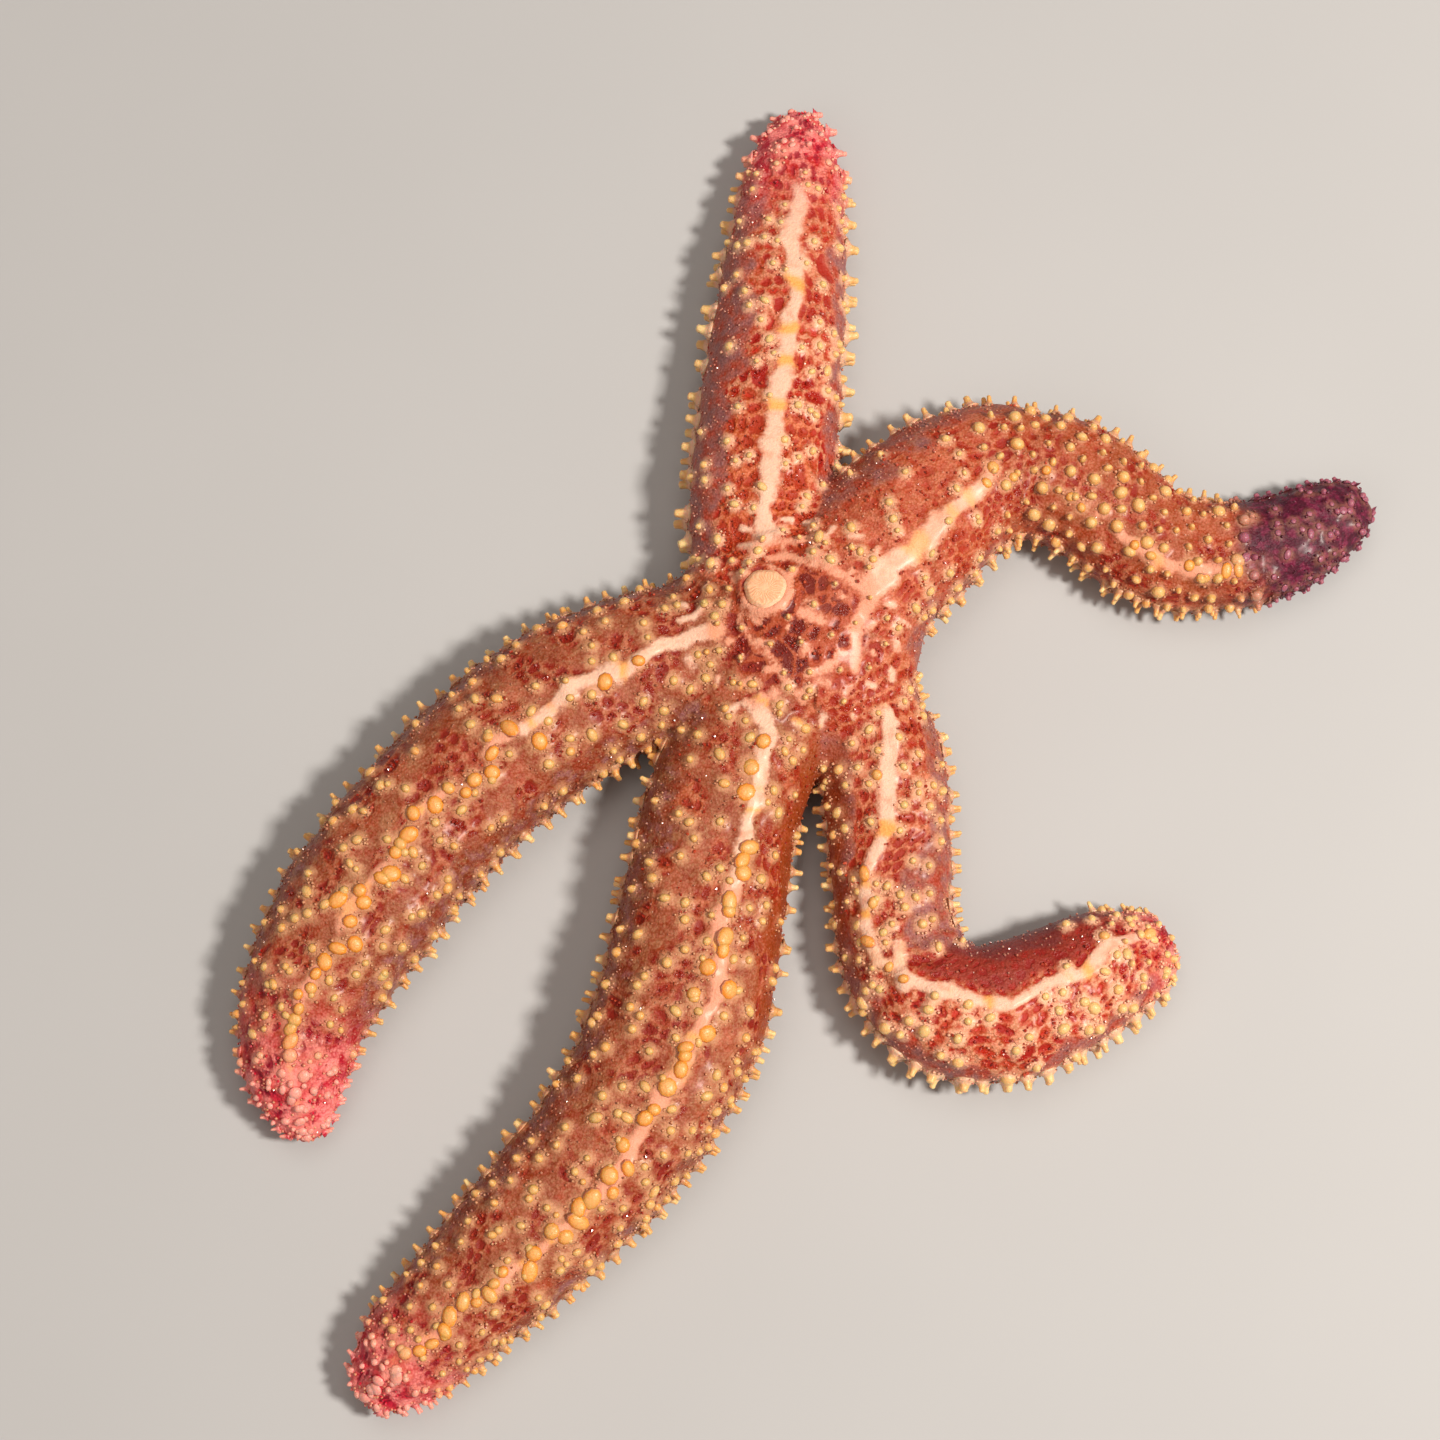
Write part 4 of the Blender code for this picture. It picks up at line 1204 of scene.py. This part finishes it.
# The sieve plate: peach, a little darker in patches and furrows, with a painted highlight on the lower right
# of its rim.
def sieveMaterial():
    start("sieve plate")
    patchy = rampUp(scaled(noise(1.0), 0.8, times("furrow", 0.4)), 0.35, 0.8)
    tone = layered(blend(patchy, "sieve", "sieveDark"), (rampUp("rimHighlight", 0.3, 1.0), "collar"))
    return finish(tone, 0.5, times(noise(0.25, 3.0), 0.10))


# Eye spots: a glossy red.
def eyeMaterial():
    start("eye spots")
    return finish(blend(rampUp(noise(0.3), 0.4, 0.7), "eye", "pit"), 0.3, times(noise(0.15, 1.0), 0.03))


# the skin piece

skin = makePiece("skin", points, quads, skinMaterial(), skinUnwrap())
# these include the painted shade of the lower right arm's curl, of the lower arms' facing flanks and of the
# right arm's tip
shared = {"brown": brown, "flank": flank, "under": under, "crimson": crimson, "shadedTip": shadedTip,
          "curlShade": curlShade, "rust": rust, "umberAndShade": umberAndShade}
own = {"discShare": discShare, "cellU": cellU, "cellV": cellV, "discU": discU, "discV": discV,
       "pitPower": pitPower, "knobGap": knobGap, "stripe": stripe, "warm": warm, "gold": gold,
       "groove": grooveShare, "centre": 1.0 - ease((reachOut - 6.0) / 6.0),
       "webGap": pitGap * (1.0 - discShare) + discGap * discShare}
for name, values in {**shared, **own}.items():
    mark(skin, name, values)
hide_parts(*flesh)
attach(skin, "root")

# the coat


# A closed turned shape of triangles: rings of one radius and height each between two poles. Also gives
# each point's share of the way up and, for the unwrap, its place on a round patch with the tip inmost.
def turned(profile, sides, bend=0.0):
    rings = np.array(profile[1:-1])
    angle = np.linspace(0.0, 2.0 * np.pi, sides, endpoint=False)
    circle = np.stack([np.cos(angle), np.sin(angle)], axis=1)
    z = np.repeat(rings[:, 1:], sides, axis=1)
    flat = rings[:, :1, None] * circle
    points = np.stack([flat[..., 0] + bend * z * z, flat[..., 1], z], axis=-1).reshape(-1, 3)
    low, high = profile[0][1], profile[-1][1]
    points = np.vstack([points, [0.0, 0.0, low], [bend * high * high, 0.0, high]])
    up = np.clip((points[:, 2] - low) / (high - low), 0.0, 1.0)
    spread = 1.0 - np.repeat(np.arange(len(rings)) / len(rings), sides)
    patch = np.vstack([spread[:, None] * np.tile(circle, (len(rings), 1)), np.zeros((2, 2))])
    return {"points": points, "faces": closedTube(len(rings), sides), "up": up, "patch": patch}


# Unit vectors.
def unit(vectors):
    return vectors / np.maximum(np.linalg.norm(vectors, axis=1, keepdims=True), 1e-9)


# Directions that lean at random from the given ones by about the given share.
def leaning(directions, lean):
    return unit(directions + lean * dice.normal(size=directions.shape))


# Outward and level, square to the arm, on the side given, at each root.
def outward(roots, sides):
    heading = np.empty(len(roots))
    for letter, course in courses.items():
        mine = isArm[letter][roots]
        heading[mine] = along(course, s[roots[mine]])["heading"]
    level = np.stack([-np.sin(heading), np.cos(heading), np.zeros(len(roots))], axis=1)
    return level * sides[:, None]


# Copies of one shape as a single mesh: each copy's own up direction, two sideways directions square to
# it and turned by a random spin, scaled by its radius and height and drawn out at random to an oval,
# and moved to its root.
def scatter(name, shape, roots, places, ups, radii, heights, material, oval=0.0):
    count = len(places)
    ups = unit(ups)
    spin = dice.normal(size=(count, 3))
    first = unit(spin - ups * (spin * ups).sum(axis=1, keepdims=True))
    second = np.cross(ups, first)
    first = first * (1.0 + oval * dice.random(count) ** 2.0)[:, None]
    local = shape["points"]
    made = places[:, None, :] + radii[:, None, None] * (
        local[None, :, 0:1] * first[:, None, :] + local[None, :, 1:2] * second[:, None, :])
    made = made + heights[:, None, None] * local[None, :, 2:3] * ups[:, None, :]
    size = len(local)
    faces = (shape["faces"][None] + size * np.arange(count)[:, None, None]).reshape(-1, 3)
    patches = rootOnUnwrap[roots][:, None, :] + unwrap["patch"] * shape["patch"][None]
    uv = patches.reshape(-1, 2)[faces.ravel()]
    piece = makePiece(name, made.reshape(-1, 3), faces, material, uv)
    for label, values in shared.items():
        mark(piece, label, np.repeat(values[roots], size))
    mark(piece, "rise", np.tile(shape["up"], count))
    mark(piece, "tint", np.repeat(dice.random(count), size))
    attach(piece, "root")
    print("%s: %d, %d triangles, down to %.2f mm" % (name, count, len(faces), made[..., 2].min()))
    return piece


# each profile: radius and height, from the pole in the skin to the pole at the tip
knob = turned(((0, -0.90), (1.30, -0.70), (1.18, 0.0), (1.0, 0.40), (0.76, 0.72), (0.42, 0.94),
               (0, 1.0)), 8)
broadKnob = turned(((0, -1.0), (1.34, -0.80), (1.20, 0.0), (0.96, 0.50), (0.58, 0.86), (0, 1.0)), 9)
finger = turned(((0, -0.30), (2.40, -0.24), (1.55, 0.03), (1.05, 0.28), (0.84, 0.62), (0.80, 0.88),
                 (0.45, 0.99), (0, 1.02)), 7, 0.10)
bead = turned(((0, -0.5), (0.95, -0.2), (0.85, 0.45), (0, 1.0)), 5)
pip = turned(((0, -0.6), (1.0, 0.0), (0.62, 0.72), (0, 1.0)), 4)
foot = turned(((0, -0.1), (0.95, -0.05), (0.72, 0.55), (0.70, 0.86), (1.20, 0.94), (1.10, 1.0),
               (0, 0.98)), 6)
needle = turned(((0, -0.15), (1.1, -0.1), (0.85, 0.45), (0.55, 0.92), (0, 1.0)), 5, 0.08)

knobFinish = spineMaterial("cream knobs", "knobOlive", "knobBeige", "knobGold", 0.5)
ridgeFinish = spineMaterial("orange knobs", "knobGold", "knobOrange", "knobOrange", 0.10, "stripePink")
fingerFinish = spineMaterial("side spines", "knobBeige", "knobGold", "knobCream", 0.6)


# Broad knobs along the stripe, and small ones over the back, the disc and the tips.
def spinesOnTheBack():
    roots, radii, heights, _ = ridgeRoots
    scatter("ridgeKnobs", broadKnob, roots, points[roots], leaning(normal[roots], 0.08), radii, heights,
            ridgeFinish, 0.60)
    roots, radii, heights = map(np.concatenate, zip(backRoots[:3], shoulderRoots[:3],
                                                    (spare, spareRadii, spareHeights)))
    scatter("backSpines", knob, roots, points[roots], leaning(normal[roots], 0.08), radii, heights,
            knobFinish, 0.45)


# Long spines on the flanks, the upper row pointing a little up and the lower one a little down,
# and shorter ones below them.
def spinesOnTheSides():
    roots, radii, heights, sides = sideRoots
    outs = outward(roots, sides)
    outs[:, 2] = np.where(np.abs(turn[roots]) < 1.01, 0.14, -0.20)
    scatter("sideSpines", finger, roots, points[roots], leaning(outs, 0.09), radii, heights,
            fingerFinish)
    roots, radii, heights, sides = belowRoots
    ups = leaning(normal[roots] + 0.4 * outward(roots, sides), 0.1)
    scatter("belowSpines", finger, roots, points[roots], ups, radii, heights, fingerFinish)


# for each kind of grain: how far it is moved and how much it leans, its radius and its height
grains = {
    "wreaths": {"moved": 0.10, "lean": 0.30, "radius": (0.20, 0.33), "height": (0.18, 0.32)},
    "gills": {"moved": 0.14, "lean": 0.45, "radius": (0.15, 0.28), "height": (0.25, 0.50)},
    "pincers": {"moved": 0.12, "lean": 0.45, "radius": (0.12, 0.22), "height": (0.14, 0.26)},
}


# Grains of one kind strewn on the roots, each moved and tipped at random.
def strew(name, shape, roots, material):
    look = grains[name]
    places = points[roots] + look["moved"] * dice.normal(size=(len(roots), 3))
    return scatter(name, shape, roots, places, leaning(normal[roots], look["lean"]),
                   dice.uniform(*look["radius"], len(roots)), dice.uniform(*look["height"], len(roots)),
                   material)


# Low beads on the ring of skin about the root of every spine.
def wreaths():
    ring = (knobGap > 0.62) & (knobGap < 1.02) & (under < 0.7) & (stripe < 0.25)
    roots = np.flatnonzero(ring & (dice.random(len(base)) < 0.30))
    strew("wreaths", pip, roots, grainMaterial("wreaths", 0.90))


# Gills stand in the pits, and pincers and grains between the spines. Their flat facets glint one by one.
def gillsAndPincers():
    inPit = pitHere * pitPower * (knobGap > 0.75) * (normal[:, 2] > -0.1)
    chance = dice.random(len(base))
    roots = np.flatnonzero(chance < 0.42 * ease((inPit - 0.25) / 0.5) + 0.25 * rust * (inPit > 0.02))
    gills = strew("gills", bead, roots, gillMaterial())
    bare = (knobGap > 0.6) & (under < 0.6) & (stripe < 0.0) & (inPit < 0.2)
    roots = np.flatnonzero(bare & (chance > 0.5) & (chance < 0.5 + 0.15 * (0.50 + 0.50 * flank)))
    pincers = strew("pincers", bead, roots, grainMaterial("pincers", 0.35))
    gills.data.shade_flat()
    pincers.data.shade_flat()


underside = {
    "feetRows": (0.62, 1.62),     # across from the groove's middle on an arm of standard width
    "feetStep": 1.35,
    "footRadius": 0.36,
    "clear": 0.12,                # the suckers' height over the floor
    "needleRows": ((2.75, -0.25), (3.45, 0.35)),   # the same, and how far their tips point outwards
    "needleStep": 1.25,
    "needleRadius": 0.24,
    "needleLength": 1.9,
    "from": 3.2,
    "tip": 2.2,                   # and they end this far from the arm's end
    "shortest": 0.25,
}


# One row of the underside: places along an arm in steps that shrink with the arm's width, the skin's
# nearest vertex to each, and directions that point down and, by the given share, outwards.
def underRow(letter, side, across, tipOut, stepSize):
    course = courses[letter]
    size = (np.maximum(course["plain"], 2.0) / standard) ** 0.5
    counted = np.cumsum(body["lineStep"] / (stepSize * size))
    first = np.interp(underside["from"], course["s"], counted)
    out = np.interp(np.arange(first, counted[-1], 1.0), counted, course["s"])
    out = out[out < course["end"] - underside["tip"]]
    out = out + 0.12 * dice.normal(size=len(out))
    at = along(course, out)
    x, y = beside(at, side * across * at["plain"] / standard + 0.08 * dice.normal(size=len(out)))
    roots, _ = nearestVertex(np.stack([x, y, at["low"] - 0.5], axis=1), np.abs(q) > 1.0)
    down = np.stack([-np.sin(at["heading"]) * side * tipOut, np.cos(at["heading"]) * side * tipOut,
                     np.full(len(out), -1.0)], axis=1)
    return np.stack([x, y, points[roots, 2]], axis=1), roots, down


# Four rows of tube feet in every groove, each standing from its root to just above the floor, and two
# rows of thin spines on either bank of the groove.
def undersideCoat():
    feet, needles = [], []
    for letter in letters:
        for side in (1.0, -1.0):
            for across in underside["feetRows"]:
                feet.append(underRow(letter, side, across, 0.0, underside["feetStep"]))
            for across, tipOut in underside["needleRows"]:
                needles.append(underRow(letter, side, across, tipOut, underside["needleStep"]))
    places, roots, down = map(np.concatenate, zip(*feet))
    ups = leaning(down, 0.10)
    heights = (places[:, 2] - underside["clear"]) * dice.uniform(0.80, 1.0, len(places))
    keep = heights > underside["shortest"]
    radii = underside["footRadius"] * dice.uniform(0.85, 1.15, keep.sum())
    scatter("tubeFeet", foot, roots[keep], places[keep], ups[keep], radii, heights[keep],
            tubeFootMaterial())
    places, roots, down = map(np.concatenate, zip(*needles))
    heights = np.minimum(underside["needleLength"] * dice.uniform(0.8, 1.1, len(places)),
                         places[:, 2] - underside["clear"])
    keep = heights > underside["shortest"]
    ups = leaning(down[keep], 0.08)
    radii = underside["needleRadius"] * dice.uniform(0.85, 1.15, keep.sum())
    scatter("grooveSpines", needle, roots[keep], places[keep], ups, radii, heights[keep],
            fingerFinish)


# One red eye spot under the end of each arm.
def eyeSpots():
    ends = [skinPoint(course, course["end"] - 0.9, np.array(1.62)) for course in courses.values()]
    roots, _ = nearestVertex(np.stack(ends), left < 4.0)
    scatter("eyeSpots", knob, roots, points[roots], normal[roots], np.full(len(roots), 0.34),
            np.full(len(roots), 0.36), eyeMaterial())


spinesOnTheBack()
spinesOnTheSides()
wreaths()
gillsAndPincers()
undersideCoat()
eyeSpots()

sieve = {"radius": 2.80, "thick": 1.9, "rows": 34, "columns": 120, "crown": 0.22, "furrow": 0.05,
         "furrows": 26, "tilt": 0.24, "sink": 0.46, "rimDrop": 0.30}


# The plate from its middle outwards: a low crown, a rounded rim and a straight skirt, with furrows that
# branch out from the middle as waves of the angle bent by the radius. It tilts down on the side away
# from the disc's centre. Its rows run outwards and then down, so the tube's faces are turned over.
def sievePlate():
    share = np.linspace(0.0, 1.0, sieve["rows"])[1:, None]
    angle = np.linspace(0.0, 2.0 * np.pi, sieve["columns"], endpoint=False)[None]
    skirt = ease((share - 0.86) / 0.14)
    radius = sieve["radius"] * np.clip(share / 0.88, 0.0, 1.0) ** 0.9 * np.ones_like(angle)
    wander = np.sin(3 * angle + 1.0) + 0.6 * np.sin(5 * angle) + 0.5 * np.sin(9 * angle + 2.0)
    bend = 3.0 * wander + 3.4 * np.sin(radius * 2.6 + wander)
    furrow = (0.5 + 0.5 * np.sin(sieve["furrows"] * angle + bend)) * ease(radius / 0.9) * (1.0 - skirt)
    z = -sieve["crown"] * (radius / sieve["radius"]) ** 4 - sieve["furrow"] * furrow
    z = z - sieve["thick"] * skirt - sieve["rimDrop"] * ease((share - 0.70) / 0.18)
    away = plateMiddle - np.array(body["discCentre"])
    away = away / np.linalg.norm(away)
    radius = radius * (1.0 + 0.03 * np.sin(3 * angle + 0.5) + 0.02 * np.sin(7 * angle))
    x, y = radius * np.cos(angle), radius * np.sin(angle)
    z = z - (x * away[0] + y * away[1]) * sieve["tilt"]
    middle = np.array([*plateMiddle, highCorner[2] - sieve["sink"]])
    grid = middle + np.stack([x, y, z], axis=-1)
    made = np.vstack([grid.reshape(-1, 3), middle, grid[-1].mean(axis=0)])
    faces = closedTube(*grid.shape[:2])[:, ::-1]
    spread = np.linspace(0.02, 1.0, sieve["rows"] - 1)[:, None, None]
    circle = np.stack([np.cos(angle), np.sin(angle)], axis=-1)
    uv = 0.5 + np.vstack([(0.48 * spread * circle).reshape(-1, 2), np.zeros((2, 2))])
    piece = makePiece("sievePlate", made, faces, sieveMaterial(), uv[faces.ravel()])
    # painted highlight: a pale crescent on the outer rows, strongest on the lower right
    rimHighlight = ease((share - 0.62) / 0.2) * ease(0.5 + 0.7 * np.cos(angle + 0.7))
    mark(piece, "furrow", np.append(furrow.ravel(), (0.0, 0.0)))
    mark(piece, "rimHighlight", np.append(rimHighlight.ravel(), (0.0, 0.0)))
    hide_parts("sieve_plate")
    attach(piece, "root")
    print("sievePlate: %d triangles" % len(faces))


sievePlate()

studio = {
    # where the camera looks, from how far and how steeply, and the width it takes in there
    "target": (-12.7, 0.9, 7.0), "distance": 380.0, "elevation": 78.0, "frameWidth": 194.0,
    "sensor": 36.0, "floorSize": 4.0,
    # name, place, width, power in watts, colour
    "lamps": (("key", (0.50, -0.12, 0.72), 0.13, 9.2, colour(255, 245, 234)),
              ("fill", (-0.55, -0.45, 0.75), 0.80, 1.7, colour(255, 242, 230)),
              ("top", (-0.05, 0.35, 0.95), 0.70, 2.4, colour(255, 246, 236))),
    "world": 0.17, "sky": colour(255, 232, 216),
}


# Puts a camera or a lamp in its place, with its -Z axis pointing at a target.
def aim(name, data, place, target):
    thing = bpy.data.objects.new(name, data)
    bpy.context.scene.collection.objects.link(thing)
    gap = np.array(target, dtype=float) - np.array(place, dtype=float)
    level = math.hypot(gap[0], gap[1])
    thing.location = place
    thing.rotation_euler = (math.atan2(level, -gap[2]), 0.0, math.atan2(-gap[0], gap[1]))
    return thing


# A square floor of one face.
def layFloor():
    mesh = bpy.data.meshes.new("floor")
    half = studio["floorSize"] / 2.0
    corners = [(-half, -half, 0), (half, -half, 0), (half, half, 0), (-half, half, 0)]
    mesh.from_pydata(corners, [], [(0, 1, 2, 3)])
    start("pale floor")
    mesh.materials.append(finish(blend(noise(60.0), "floor", "floorOther"), 0.75))
    floor = bpy.data.objects.new("floor", mesh)
    bpy.context.scene.collection.objects.link(floor)


# The lamps, all pointing at the origin, an even sky, and the camera at its distance from the target.
def lightAndCamera():
    for name, place, width, power, tint in studio["lamps"]:
        lamp = bpy.data.lights.new(name, "AREA")
        lamp.size, lamp.energy, lamp.color = width, power, tint[:3]
        aim(name, lamp, place, (0.0, 0.0, 0.0))
    world = bpy.data.worlds.new("studio")
    world.use_nodes = True
    sky = next(node for node in world.node_tree.nodes if node.type == "BACKGROUND")
    sky.inputs["Color"].default_value = studio["sky"]
    sky.inputs["Strength"].default_value = studio["world"]
    bpy.context.scene.world = world
    bpy.context.scene.view_settings.view_transform = "Standard"
    camera = bpy.data.cameras.new("camera")
    camera.sensor_width, camera.clip_start = studio["sensor"], 0.01
    camera.lens = studio["sensor"] * studio["distance"] / studio["frameWidth"]
    steep = math.radians(studio["elevation"])
    back = np.array([0.0, -math.cos(steep), math.sin(steep)]) * studio["distance"]
    target = np.array(studio["target"])
    bpy.context.scene.camera = aim("camera", camera, tuple((target + back) * mm), tuple(target * mm))


layFloor()
lightAndCamera()
print("studio: floor, lamps and camera")
